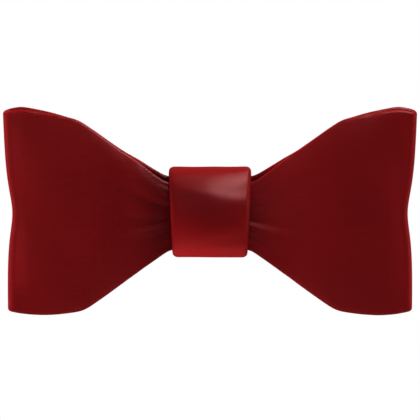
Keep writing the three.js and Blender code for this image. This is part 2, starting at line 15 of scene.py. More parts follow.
import bmesh
import bpy
import numpy as np
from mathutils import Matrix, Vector


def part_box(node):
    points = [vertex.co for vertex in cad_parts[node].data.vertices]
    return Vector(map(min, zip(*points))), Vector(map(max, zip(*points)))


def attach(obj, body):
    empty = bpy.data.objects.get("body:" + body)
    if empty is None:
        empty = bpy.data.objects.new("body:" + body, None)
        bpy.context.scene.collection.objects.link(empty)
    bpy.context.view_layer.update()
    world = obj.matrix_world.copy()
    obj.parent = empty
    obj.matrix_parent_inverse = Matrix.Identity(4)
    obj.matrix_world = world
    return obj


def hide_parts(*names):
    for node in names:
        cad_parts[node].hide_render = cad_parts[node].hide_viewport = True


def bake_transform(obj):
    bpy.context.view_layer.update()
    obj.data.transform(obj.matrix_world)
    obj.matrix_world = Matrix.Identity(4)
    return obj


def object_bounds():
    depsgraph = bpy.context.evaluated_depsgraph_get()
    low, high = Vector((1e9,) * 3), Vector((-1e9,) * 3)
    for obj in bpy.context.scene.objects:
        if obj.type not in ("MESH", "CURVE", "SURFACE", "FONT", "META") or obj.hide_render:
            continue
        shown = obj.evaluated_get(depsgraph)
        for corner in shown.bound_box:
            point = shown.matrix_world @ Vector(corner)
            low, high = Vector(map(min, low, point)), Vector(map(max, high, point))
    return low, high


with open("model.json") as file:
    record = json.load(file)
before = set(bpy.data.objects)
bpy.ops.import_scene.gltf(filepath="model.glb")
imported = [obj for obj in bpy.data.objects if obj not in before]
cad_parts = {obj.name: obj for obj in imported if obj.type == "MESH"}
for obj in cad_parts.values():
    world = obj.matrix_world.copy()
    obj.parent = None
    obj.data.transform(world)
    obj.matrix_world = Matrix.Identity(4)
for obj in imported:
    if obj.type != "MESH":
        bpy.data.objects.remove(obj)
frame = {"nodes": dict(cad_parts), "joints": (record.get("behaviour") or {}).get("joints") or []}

LOG = logging.getLogger("bow_tie")
MM = 0.001
ROOT = "bow_tie"
CAD_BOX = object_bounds()
Array = np.ndarray
Colour = tuple[float, float, float]
Tree = bpy.types.NodeTree
Socket = bpy.types.NodeSocket
Piece = bpy.types.Object
WHITE: Colour = (1.0, 1.0, 1.0)


# ---------------------------------------------------------------- small mathematics


def smooth(low: float, high: float, x: Array) -> Array:
    """The cubic step 3t^2 - 2t^3, where t runs from 0 at low to 1 at high.

    Args:
        low: Where the step starts.
        high: Where the step ends.
        x: The values to look up.

    Returns:
        Numbers from 0 to 1, shaped as x.
    """
    t = np.clip((np.asarray(x, float) - low) / (high - low), 0.0, 1.0)
    return t * t * (3 - 2 * t)


def mix(a: Array, b: Array, share: Array) -> Array:
    """The value that lies at share of the way from a to b."""
    return a + (b - a) * share


def hump(x: Array, centre: float, width: float) -> Array:
    """A bell, exp(-((x - centre) / width)^2)."""
    return np.exp(-(((x - centre) / width) ** 2))


def unit(vectors: Array) -> Array:
    """The vectors scaled to length one along the last axis."""
    return vectors / np.maximum(np.linalg.norm(vectors, axis=-1, keepdims=True), 1e-12)


def signed_power(value: Array, exponent: float) -> Array:
    """The size of a value raised to a power, with the value's own sign."""
    return np.sign(value) * np.abs(value) ** exponent


def run_length(points: Array) -> Array:
    """Length along a run of points, up to each point."""
    return np.r_[0, np.cumsum(np.linalg.norm(np.diff(points, axis=0), axis=1))]


def ring_length(points: Array, middle: int) -> Array:
    """Length round each ring of a grid of points, counted from its middle column.

    Args:
        points: Points, rings by columns.
        middle: The column where the length is 0.

    Returns:
        Lengths, rings by columns, less than 0 before the middle.
    """
    step = np.linalg.norm(np.diff(points, axis=1), axis=-1)
    around = np.concatenate([np.zeros((len(points), 1)), np.cumsum(step, axis=1)], 1)
    return around - around[:, middle, None]


def ripple(x: Array, y: Array, seed: int, wavelength: float, waves: int = 7) -> Array:
    """A gentle random surface: the mean of cosines whose directions and phases are drawn once.

    Args:
        x: First coordinate, in millimetres.
        y: Second coordinate, in millimetres.
        seed: Seed of the draw.
        wavelength: Mean wavelength, in millimetres.
        waves: How many cosines are summed.

    Returns:
        Heights of about -1 to 1.
    """
    rng = np.random.default_rng(seed)
    angle = rng.uniform(0, math.pi, waves)
    rate = 2 * math.pi / (wavelength * rng.uniform(0.7, 1.5, waves))
    phase = rng.uniform(0, 2 * math.pi, waves)
    along = x[..., None] * np.cos(angle) + y[..., None] * np.sin(angle)
    return np.cos(along * rate + phase).sum(-1) / math.sqrt(waves)


# ---------------------------------------------------------------- meshes


def quads(rows: int, columns: int, first: int = 0, flip: bool = False) -> Array:
    """Quads between neighbouring points of a grid of closed rings.

    Args:
        rows: Number of rings.
        columns: Points in each ring.
        first: Index of the grid's first point.
        flip: Whether the faces turn the other way.

    Returns:
        An array of quads, four indices each.
    """
    i, k = np.meshgrid(np.arange(rows - 1) * columns, np.arange(columns), indexing="ij")
    nxt = (k + 1) % columns
    faces = np.stack([i + k, i + nxt, i + columns + nxt, i + columns + k], -1)
    faces = faces.reshape(-1, 4) + first
    return faces[:, ::-1] if flip else faces


def end_caps(rows: int, columns: int) -> list:
    """One many-sided face over the first ring of a tube, and one over its last."""
    ring = list(range(columns))
    return [[ring[::-1]], [[(rows - 1) * columns + k for k in ring]]]


def make_object(
    name: str, points: Array, faces: list, uv: Array | None = None, **point_values: Array
) -> Piece:
    """A smooth mesh object from points in millimetres.

    Args:
        name: The piece's name.
        points: Points, any shape that ends in 3.
        faces: Arrays or lists of faces.
        uv: Texture coordinates of the points, in metres of cloth.
        point_values: Arrays kept as named point attributes.

    Returns:
        The object, at the origin.
    """
    mesh = bpy.data.meshes.new(name)
    polygons = [list(map(int, face)) for group in faces for face in np.asarray(group)]
    mesh.from_pydata((points.reshape(-1, 3) * MM).tolist(), [], polygons)
    mesh.update()
    mesh.polygons.foreach_set("use_smooth", np.ones(len(mesh.polygons), bool))
    if uv is not None:
        corners = np.zeros(len(mesh.loops), np.int32)
        mesh.loops.foreach_get("vertex_index", corners)
        layer = mesh.uv_layers.new(name="cloth")
        layer.data.foreach_set("uv", uv.reshape(-1, 2)[corners].astype(np.float32).ravel())
    for key, values in point_values.items():
        attribute = mesh.attributes.new(key, "FLOAT", "POINT")
        attribute.data.foreach_set("value", values.astype(np.float32).ravel())
    made = bpy.data.objects.new(name, mesh)
    bpy.context.scene.collection.objects.link(made)
    return made


def thick_rings(middle: Array, distance: float, edge_steps: int) -> tuple[Array, Array]:
    """Rings round a sheet at a distance from its middle surface, with half-round side edges.

    Args:
        middle: Points, stations by places across.
        distance: How far out the rings lie.
        edge_steps: Points on each half-round edge.

    Returns:
        Points, stations by ring, and the place across of each ring point, from -1 to 1.
    """
    up = unit(np.gradient(middle, axis=1))
    normal = unit(np.cross(up, np.gradient(middle, axis=0)))
    turn = np.linspace(0, math.pi, edge_steps + 2)[1:-1]
    edges = []
    for at, sign in ((-1, 1), (0, -1)):
        outwards = np.cos(turn)[None, :, None] * normal[:, at, None]
        sideways = np.sin(turn)[None, :, None] * up[:, at, None]
        edges.append(middle[:, at, None] + distance * sign * (outwards + sideways))
    face = distance * normal
    points = np.concatenate([middle + face, edges[0], (middle - face)[:, ::-1], edges[1]], 1)
    place = np.linspace(-1, 1, middle.shape[1])
    return points, np.r_[place, np.ones(edge_steps), place[::-1], -np.ones(edge_steps)]


def thread_points(
    path: Array, across: Array, radius: float, sides: int, plies: int, lay: float, lobe: float = 0.16
) -> Array:
    """Rings round a path with the lobes of twisted plies.

    The radius at angle a is radius * (1 - lobe + lobe * |cos(plies / 2 * (a - turn))|), and turn
    grows by a full circle for each lay of length.

    Args:
        path: Points along the middle of the thread.
        across: A direction that is never along the path.
        radius: Radius over the plies.
        sides: Points in each ring.
        plies: How many strands are twisted together, or 0 for a plain round wire.
        lay: Length of one full twist.
        lobe: Depth of the grooves between the plies, as a share of the radius.

    Returns:
        Points, rings by sides.
    """
    forwards = unit(np.gradient(path, axis=0))
    side = unit(np.cross(forwards, across))
    over = np.cross(forwards, side)
    angle = np.linspace(0, 2 * math.pi, sides, endpoint=False)[None, :]
    lobes = np.ones((len(path), sides))
    if plies:
        turn = (2 * math.pi * run_length(path) / lay)[:, None]
        lobes = 1 - lobe + lobe * np.abs(np.cos(plies / 2 * (angle - turn)))
    spoke = np.cos(angle)[..., None] * side[:, None] + np.sin(angle)[..., None] * over[:, None]
    return path[:, None] + radius * lobes[..., None] * spoke


def make_thread(
    name: str,
    path: Array,
    across: Array,
    radius: float,
    sides: int = 12,
    plies: int = 3,
    lay: float = 2.2,
) -> Piece:
    """A thread or wire along a path, closed with a cap at each end.

    Args:
        name: The piece's name.
        path: Points along the middle of the thread, in millimetres.
        across: A direction that is never along the path.
        radius: Radius over the plies.
        sides: Points in each ring.
        plies: Strands twisted together, or 0 for a wire.
        lay: Length of one full twist.

    Returns:
        The object.
    """
    points = thread_points(path, across, radius, sides, plies, lay)
    around = np.linspace(0, 2 * math.pi * radius, sides, endpoint=False)
    uv = np.stack(np.broadcast_arrays(run_length(path)[:, None], around[None, :]), -1) * MM
    rows = len(path)
    made = make_object(name, points, [quads(rows, sides), *end_caps(rows, sides)], uv)
    face_outwards(made)
    return made


def face_outwards(made: Piece, merge: float = 0.0) -> None:
    """Turns a closed mesh's faces outwards.

    Args:
        made: The piece.
        merge: Points nearer than this, in millimetres, are joined first.
    """
    work = bmesh.new()
    work.from_mesh(made.data)
    if merge:
        bmesh.ops.remove_doubles(work, verts=work.verts, dist=merge * MM)
    bmesh.ops.recalc_face_normals(work, faces=work.faces)
    work.to_mesh(made.data)
    work.free()


def resample(points: Array, step: float) -> Array:
    """Points at an even distance along a run of straight stretches.

    Args:
        points: The run of points.
        step: About how far apart the new points lie.

    Returns:
        The new points, with the same two ends.
    """
    length = run_length(points)
    at = np.linspace(0, length[-1], max(2, int(length[-1] / step)))
    return np.stack([np.interp(at, length, points[:, k]) for k in range(points.shape[1])], -1)


def relax(points: Array, passes: int) -> Array:
    """Rounds a run's corners: each inner point moves halfway to the mean of its neighbours.

    Args:
        points: The run of points.
        passes: How many times it is done.

    Returns:
        The rounded run, as many points long.
    """
    for _ in range(passes):
        eased = (points[:-2] + 2 * points[1:-1] + points[2:]) / 4
        points = np.concatenate([points[:1], eased, points[-1:]])
    return points


# ---------------------------------------------------------------- finishes


class Slot(Enum):
    """The record's material slots."""

    SATIN = "satin"
    INTERLINING = "interlining"
    PADDING = "padding"
    THREAD = "thread"
    NICKEL = "nickel"
    SPRING_STEEL = "spring_steel"


class Weave(Enum):
    """How the threads of a cloth cross: over how many threads each one floats."""

    SATIN = 5
    PLAIN = 2


def add_node(
    tree: Tree, kind: str, inputs: dict | None = None, **settings: object
) -> bpy.types.Node:
    """A shader node.

    Args:
        tree: The tree it goes in.
        kind: Its type, without "ShaderNode".
        inputs: Socket name or index to a value, or to an output socket to link from.
        settings: Properties of the node.

    Returns:
        The node.
    """
    made = tree.nodes.new(kind if kind.startswith("Node") else "ShaderNode" + kind)
    for key, value in settings.items():
        setattr(made, key, value)
    for key, value in (inputs or {}).items():
        if isinstance(value, bpy.types.NodeSocket):
            tree.links.new(value, made.inputs[key])
        else:
            made.inputs[key].default_value = value
    return made


def calc(tree: Tree, operation: str, *values: object) -> Socket:
    """The result of a Math node with these values or sockets."""
    return add_node(tree, "Math", dict(enumerate(values)), operation=operation).outputs[0]


def weighted(tree: Tree, start: float, *terms: tuple[Socket, float]) -> Socket:
    """A start value plus each socket times its weight.

    Args:
        tree: The tree that the sockets are in.
        start: The value that the sum starts from.
        terms: Sockets and their weights.

    Returns:
        The sum.
    """
    total = start
    for socket, weight in terms:
        total = calc(tree, "ADD", total, calc(tree, "MULTIPLY", socket, weight))
    return total


def rescale(tree: Tree, value: Socket, source: tuple, target: tuple) -> Socket:
    """A value moved from one range to another, kept inside it."""
    inputs = {0: value, 1: source[0], 2: source[1], 3: target[0], 4: target[1]}
    return add_node(tree, "MapRange", inputs).outputs[0]


def noise(tree: Tree, place: Socket, scale: float | Socket, detail: float, **more: float) -> Socket:
    """Noise of 0 to 1.

    Args:
        tree: The tree it goes in.
        place: Where the noise is read.
        scale: How fine it is, in waves for each metre of place.
        detail: How many finer layers it has.
        more: Other inputs of the noise node.

    Returns:
        The noise.
    """
    inputs = {"Vector": place, "Scale": scale, "Detail": detail, **more}
    return add_node(tree, "TexNoise", inputs).outputs["Fac"]


def add_relief(
    tree: Tree, shader: bpy.types.Node, height: Socket, distance: float, strength: float
) -> None:
    """Gives a shader a bumpy surface.

    Args:
        tree: The shader's tree.
        shader: The shader.
        height: The height map, where 1 is worth the distance.
        distance: In millimetres.
        strength: How much of it shows, from 0 to 1.
    """
    inputs = {"Height": height, "Distance": distance * MM, "Strength": strength}
    bump = add_node(tree, "Bump", inputs)
    tree.links.new(bump.outputs[0], shader.inputs["Normal"])


def new_group(
    name: str, inputs: dict[str, tuple[str, object]], outputs: dict[str, str]
) -> tuple[Tree, bpy.types.Node, bpy.types.Node]:
    """An empty shader node group.

    Args:
        name: The group's name.
        inputs: Socket name to its type and default.
        outputs: Socket name to its type.

    Returns:
        The tree, its input node and its output node.
    """
    tree = bpy.data.node_groups.new(name, "ShaderNodeTree")
    for key, (kind, default) in inputs.items():
        socket = tree.interface.new_socket(key, in_out="INPUT", socket_type="NodeSocket" + kind)
        if default is not None:
            socket.default_value = default
    for key, kind in outputs.items():
        tree.interface.new_socket(key, in_out="OUTPUT", socket_type="NodeSocket" + kind)
    return tree, tree.nodes.new("NodeGroupInput"), tree.nodes.new("NodeGroupOutput")


def weave_group() -> Tree:
    """Woven cloth: how high its surface is, and how much light its threads catch.

    Thread i lies in cell floor(v). It is a ridge across, 1 - (2 frac(v) - 1)^2, and goes under a
    crossing thread once every Float cells, at (u + 2 i) mod Float = 0.5. Slubs are noise drawn out
    along the threads.

    Returns:
        The node group.
    """
    tree, enter, leave = new_group(
        "woven_cloth",
        {
            "Cloth": ("Vector", None),
            "Threads": ("Float", 4500.0),
            "Float": ("Float", 5.0),
            "Slub": ("Float", 0.3),
        },
        {"Height": "Float", "Shade": "Float", "Streak": "Float"},
    )
    scaled = add_node(tree, "VectorMath", {0: enter.outputs["Cloth"]}, operation="SCALE")
    tree.links.new(enter.outputs["Threads"], scaled.inputs["Scale"])
    split = add_node(tree, "SeparateXYZ", {0: scaled.outputs[0]})
    along, across = split.outputs[0], split.outputs[1]
    index = calc(tree, "FLOOR", across)
    place = weighted(tree, -1.0, (calc(tree, "FRACT", across), 2.0))
    ridge = calc(tree, "SUBTRACT", 1.0, calc(tree, "POWER", calc(tree, "ABSOLUTE", place), 2.0))
    shifted = weighted(tree, 0.0, (along, 1.0), (index, 2.0))
    lap = calc(tree, "FLOORED_MODULO", shifted, enter.outputs["Float"])
    before = calc(tree, "ABSOLUTE", calc(tree, "SUBTRACT", lap, 0.5))
    after = calc(tree, "ABSOLUTE", weighted(tree, 0.5, (enter.outputs["Float"], 1.0), (lap, -1.0)))
    over = rescale(tree, calc(tree, "MINIMUM", before, after), (0.3, 1.0), (0.25, 1.0))
    height = calc(tree, "MULTIPLY", ridge, over)
    stretch = {0: enter.outputs["Cloth"], 1: (60.0, 2600.0, 1.0)}
    drawn = add_node(tree, "VectorMath", stretch, operation="MULTIPLY")
    slubs = noise(tree, drawn.outputs[0], 1.0, 3.0, Roughness=0.6)
    streak = rescale(tree, slubs, (0.3, 0.7), (0.0, 1.0))
    raised = calc(tree, "ADD", height, calc(tree, "MULTIPLY", streak, enter.outputs["Slub"]))
    tree.links.new(raised, leave.inputs["Height"])
    tree.links.new(height, leave.inputs["Shade"])
    tree.links.new(streak, leave.inputs["Streak"])
    return tree


def handling_group() -> Tree:
    """Marks of use on metal: broad smudges, and fine scratches from noise stretched two ways.

    Returns:
        The node group.
    """
    tree, enter, leave = new_group(
        "handling_marks",
        {"Place": ("Vector", None), "Smudge": ("Float", 120.0), "Scratch": ("Float", 900.0)},
        {"Smudges": "Float", "Scratches": "Float"},
    )
    place = enter.outputs["Place"]
    smudge = noise(tree, place, enter.outputs["Smudge"], 4.0)
    lines = []
    for turn in (0.4, 1.9):
        turned = {"Vector": place, "Rotation": (0.0, turn, 0.0), "Scale": (1.0, 1.0, 14.0)}
        mapped = add_node(tree, "Mapping", turned)
        streaks = noise(tree, mapped.outputs[0], enter.outputs["Scratch"], 2.0)
        lines.append(rescale(tree, streaks, (0.62, 0.7), (0.0, 1.0)))
    tree.links.new(smudge, leave.inputs["Smudges"])
    tree.links.new(calc(tree, "MAXIMUM", *lines), leave.inputs["Scratches"])
    return tree


WOVEN = weave_group()
MARKS = handling_group()


def new_material(name: str) -> tuple[bpy.types.Material, Tree, bpy.types.Node]:
    """A new material, its tree and its shader.

    Args:
        name: The material's name.

    Returns:
        The material, its node tree and its shader.
    """
    material = bpy.data.materials.new(name)
    material.use_nodes = True
    tree = material.node_tree
    return material, tree, tree.nodes["Principled BSDF"]


def blend_colours(
    tree: Tree, share: float | Socket, low: Colour | Socket, high: Colour | Socket, way: str = "MIX"
) -> Socket:
    """A colour between two colours, or one multiplied by the other.

    Args:
        tree: The tree it goes in.
        share: 0 for the low colour and 1 for the high one, or for their product.
        low: The first colour.
        high: The second colour.
        way: Blender's name for how they blend.

    Returns:
        The colour.
    """
    made = add_node(tree, "Mix", data_type="RGBA", blend_type=way)
    for key, value in (("Factor_Float", share), ("A_Color", low), ("B_Color", high)):
        socket = next(found for found in made.inputs if found.identifier == key)
        if isinstance(value, bpy.types.NodeSocket):
            tree.links.new(value, socket)
        else:
            socket.default_value = (*value, 1.0) if isinstance(value, tuple) else value
    return next(socket for socket in made.outputs if socket.identifier == "Result_Color")


@dataclass(frozen=True)
class ClothFinish:
    """Woven cloth, which follows the piece's own texture coordinates."""

    name: str
    deep: Colour
    lit: Colour
    weave: Weave
    threads_per_metre: float
    roughness: float
    sheen: float
    relief: float
    specular: float = 0.5
    glint: Colour = WHITE
    thread_share: float = 0.55
    slub_share: float = 0.3
    drift_share: float = 0.2
    # Weight of the painted sheen that lightens pressed edges
    pressed_share: float = 0.25
    # Colour factor where the painted shade is full
    crushed_shade: float = 0.45
    thread_height: float = 0.05

    def build(self) -> bpy.types.Material:
        """The material.

        Colour runs from deep between the threads to lit on them, with slubs and a slow drift. One point
        value marks the ironed folds, which it smooths and lightens with a painted sheen; another is painted
        shade, which darkens the cloth beside the knot, in the folds' valleys and at the knot band's side
        edges.

        Returns:
            The material.
        """
        material, tree, shader = new_material(self.name)
        cloth = add_node(tree, "UVMap", uv_map="cloth").outputs[0]
        woven = add_node(tree, "Group", node_tree=WOVEN)
        tree.links.new(cloth, woven.inputs["Cloth"])
        woven.inputs["Threads"].default_value = self.threads_per_metre
        woven.inputs["Float"].default_value = float(self.weave.value)
        place = add_node(tree, "TexCoord").outputs["Object"]
        drift = noise(tree, place, 45.0, 3.0)
        # Pressed edges: smoother cloth, and a painted sheen that lightens the colour
        pressed = add_node(tree, "Attribute", attribute_name="pressed").outputs["Fac"]
        # Painted shade beside the knot, in the fold valleys and at the knot band's side edges
        gather = add_node(tree, "Attribute", attribute_name="gather").outputs["Fac"]
        share = weighted(
            tree,
            0.0,
            (woven.outputs["Shade"], self.thread_share),
            (woven.outputs["Streak"], self.slub_share),
            (drift, self.drift_share),
            (pressed, self.pressed_share),
        )
        colour = blend_colours(tree, share, self.deep, self.lit)
        # Painted shade: the colour is multiplied down towards the darkest factor
        shade = rescale(tree, gather, (0.0, 1.0), (1.0, self.crushed_shade))
        dark = add_node(tree, "CombineColor", {0: shade, 1: shade, 2: shade}).outputs[0]
        tree.links.new(blend_colours(tree, 1.0, colour, dark, "MULTIPLY"), shader.inputs["Base Color"])
        uneven = ((woven.outputs["Streak"], 0.09), (drift, 0.06), (pressed, -0.05))
        tree.links.new(weighted(tree, self.roughness - 0.06, *uneven), shader.inputs["Roughness"])
        add_relief(tree, shader, woven.outputs["Height"], self.thread_height, self.relief)
        shader.inputs["Sheen Weight"].default_value = self.sheen
        shader.inputs["Sheen Roughness"].default_value = 0.45
        shader.inputs["Sheen Tint"].default_value = (*self.lit, 1.0)
        shader.inputs["Specular IOR Level"].default_value = self.specular
        shader.inputs["Specular Tint"].default_value = (*self.glint, 1.0)
        return material


@dataclass(frozen=True)
class WaddingFinish:
    """Bonded white wadding: matted fibres, with no weave."""

    name: str
    colour: Colour
    shadow: Colour

    def build(self) -> bpy.types.Material:
        """The material: two sizes of noise in the piece's own place make the fibres.

        Returns:
            The material.
        """
        material, tree, shader = new_material(self.name)
        place = add_node(tree, "TexCoord").outputs["Object"]
        fibres = noise(tree, place, 2600.0, 6.0, Distortion=2.0)
        clumps = noise(tree, place, 500.0, 3.0)
        share = weighted(tree, 0.0, (fibres, 0.6), (clumps, 0.4))
        tree.links.new(blend_colours(tree, share, self.shadow, self.colour), shader.inputs["Base Color"])
        add_relief(tree, shader, share, 0.2, 0.8)
        tree.links.new(rescale(tree, clumps, (0.2, 0.8), (0.85, 1.0)), shader.inputs["Roughness"])
        shader.inputs["Sheen Weight"].default_value = 0.4
        return material


@dataclass(frozen=True)
class ThreadFinish:
    """Twisted sewing thread: the fibres run round it at the angle of its twist."""

    name: str
    deep: Colour
    lit: Colour
    roughness: float = 0.5

    def build(self) -> bpy.types.Material:
        """The material: fine waves across the thread's own length, and noise for stray fibres.

        Returns:
            The material.
        """
        material, tree, shader = new_material(self.name)
        cloth = add_node(tree, "UVMap", uv_map="cloth").outputs[0]
        twist = {"Vector": cloth, "Rotation": (0.0, 0.0, 0.6), "Scale": (6000.0, 6000.0, 1.0)}
        turned = add_node(tree, "Mapping", twist).outputs[0]
        wave = {"Vector": turned, "Scale": 1.0, "Distortion": 1.5, "Detail": 2.0}
        fibres = add_node(tree, "TexWave", wave).outputs["Fac"]
        tree.links.new(blend_colours(tree, fibres, self.deep, self.lit), shader.inputs["Base Color"])
        rough = weighted(tree, self.roughness + 0.1, (fibres, -0.1))
        tree.links.new(rough, shader.inputs["Roughness"])
        add_relief(tree, shader, fibres, 0.03, 0.6)
        shader.inputs["Sheen Weight"].default_value = 0.3
        return material


@dataclass(frozen=True)
class MetalFinish:
    """Plated or drawn metal with handling marks."""

    name: str
    clean: Colour
    dull: Colour
    roughness: float
    grain: float

    def build(self) -> bpy.types.Material:
        """The material: smudges dull and roughen it, and scratches cut into it.

        Returns:
            The material.
        """
        material, tree, shader = new_material(self.name)
        place = add_node(tree, "TexCoord").outputs["Object"]
        marks = add_node(tree, "Group", node_tree=MARKS)
        tree.links.new(place, marks.inputs["Place"])
        smudge = rescale(tree, marks.outputs["Smudges"], (0.35, 0.7), (0.0, 1.0))
        tree.links.new(blend_colours(tree, smudge, self.clean, self.dull), shader.inputs["Base Color"])
        scratches = marks.outputs["Scratches"]
        rough = weighted(tree, self.roughness, (smudge, 0.16), (scratches, 0.15))
        tree.links.new(rough, shader.inputs["Roughness"])
        stretched = add_node(tree, "Mapping", {"Vector": place, "Scale": (0.15, 1.0, 1.0)})
        grain = noise(tree, stretched.outputs[0], 6000.0, 2.0)
        cut = weighted(tree, 0.0, (grain, self.grain), (scratches, -1.0))
        add_relief(tree, shader, cut, 0.01, 0.5)
        shader.inputs["Metallic"].default_value = 1.0
        return material


Finish = ClothFinish | WaddingFinish | ThreadFinish | MetalFinish
FINISHES: dict[Slot, Finish] = {
    Slot.SATIN: ClothFinish(
        name="red_satin",
        deep=(0.30, 0.006, 0.008),
        lit=(0.46, 0.010, 0.013),
        weave=Weave.SATIN,
        threads_per_metre=4200.0,
        roughness=0.36,
        sheen=0.0,
        relief=0.35,
        specular=0.26,
        glint=(1.0, 0.55, 0.55),
    ),
    Slot.INTERLINING: ClothFinish(
        name="collar_canvas",
        deep=(0.50, 0.44, 0.34),
        lit=(0.78, 0.73, 0.62),
        weave=Weave.PLAIN,
        threads_per_metre=1500.0,
        roughness=0.85,
        sheen=0.2,
        relief=0.9,
    ),
    Slot.PADDING: WaddingFinish("white_wadding", (0.86, 0.84, 0.80), (0.60, 0.58, 0.54)),
    Slot.THREAD: ThreadFinish("red_sewing_thread", (0.10, 0.003, 0.005), (0.30, 0.010, 0.014)),
    Slot.NICKEL: MetalFinish(
        name="nickel_plate",
        clean=(0.72, 0.69, 0.64),
        dull=(0.52, 0.50, 0.46),
        roughness=0.2,
        grain=0.6,
    ),
    Slot.SPRING_STEEL: MetalFinish(
        name="drawn_spring_wire",
        clean=(0.50, 0.50, 0.51),
        dull=(0.30, 0.29, 0.28),
        roughness=0.28,
        grain=1.2,
    ),
}
MATERIALS: dict[Slot, bpy.types.Material] = {}


def dress(made: Piece, slot: Slot) -> Piece:
    """Gives a piece the finish of a slot.

    Args:
        made: The piece.
        slot: The record's material slot.

    Returns:
        The same piece.
    """
    if slot not in MATERIALS:
        MATERIALS[slot] = FINISHES[slot].build()
    made.data.materials.clear()
    made.data.materials.append(MATERIALS[slot])
    return made


class Group(Enum):
    """Pieces that a light can be kept to."""

    METAL = "metal_pieces"
    KNOT = "knot_pieces"
    WINGS = "wing_pieces"


def group_of(group: Group) -> bpy.types.Collection:
    """The collection that lists a group's pieces."""
    return bpy.data.collections.get(group.value) or bpy.data.collections.new(group.value)


def cad_box(node: str) -> tuple[Array, Array]:
    """The lowest and highest corner of a CAD node, in millimetres."""
    low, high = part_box(node)
    return np.array(low) / MM, np.array(high) / MM


def place_piece(made: Piece, slot: Slot, body: str, *nodes: str) -> Piece:
    """Dresses a piece, makes it ride on a body and stand for CAD nodes, and logs it.

    Args:
        made: The piece.
        slot: The record's material slot.
        body: The body that it rides on.
        nodes: The CAD nodes that it stands for.

    Returns:
        The same piece.
    """
    dress(made, slot)
    if isinstance(FINISHES[slot], MetalFinish):
        group_of(Group.METAL).objects.link(made)
    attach(made, body)
    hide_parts(*nodes)
    LOG.info("%s: %d faces, rides on %s", made.name, len(made.data.polygons), body)
    return made


# ---------------------------------------------------------------- the bow


Corner = tuple[float, float, float]  # x, height and softness of a corner in an edge


@dataclass(frozen=True)
class Fold:
    """A soft ridge or valley in a leaf that runs out from the knot."""

    place: float  # where it leaves the knot, -1 at the bottom edge to 1 at the top
    drift: float  # how far up it has moved at drift_length from the knot
    width: float
    rise: float  # mm out of the leaf, less than 0 for a valley
    reach: float  # mm from the knot to where it has died away

    drift_length: ClassVar[float] = 20.0
    widen_length: ClassVar[float] = 40.0
    fade_power: ClassVar[float] = 1.4

    def height(self, beyond: Array, v: Array) -> Array:
        """How far it stands out: a bell across v that dies away as (1 - smoothstep)^power.

        Args:
            beyond: Distance from the knot, in millimetres.
            v: Place across the leaf, -1 to 1.

        Returns:
            Heights in millimetres, shaped as v.
        """
        centre = self.place + self.drift * beyond / self.drift_length
        fade = (1 - smooth(0, self.reach, beyond)) ** self.fade_power
        return self.rise * fade * hump(v, centre, self.width * (1 + beyond / self.widen_length))


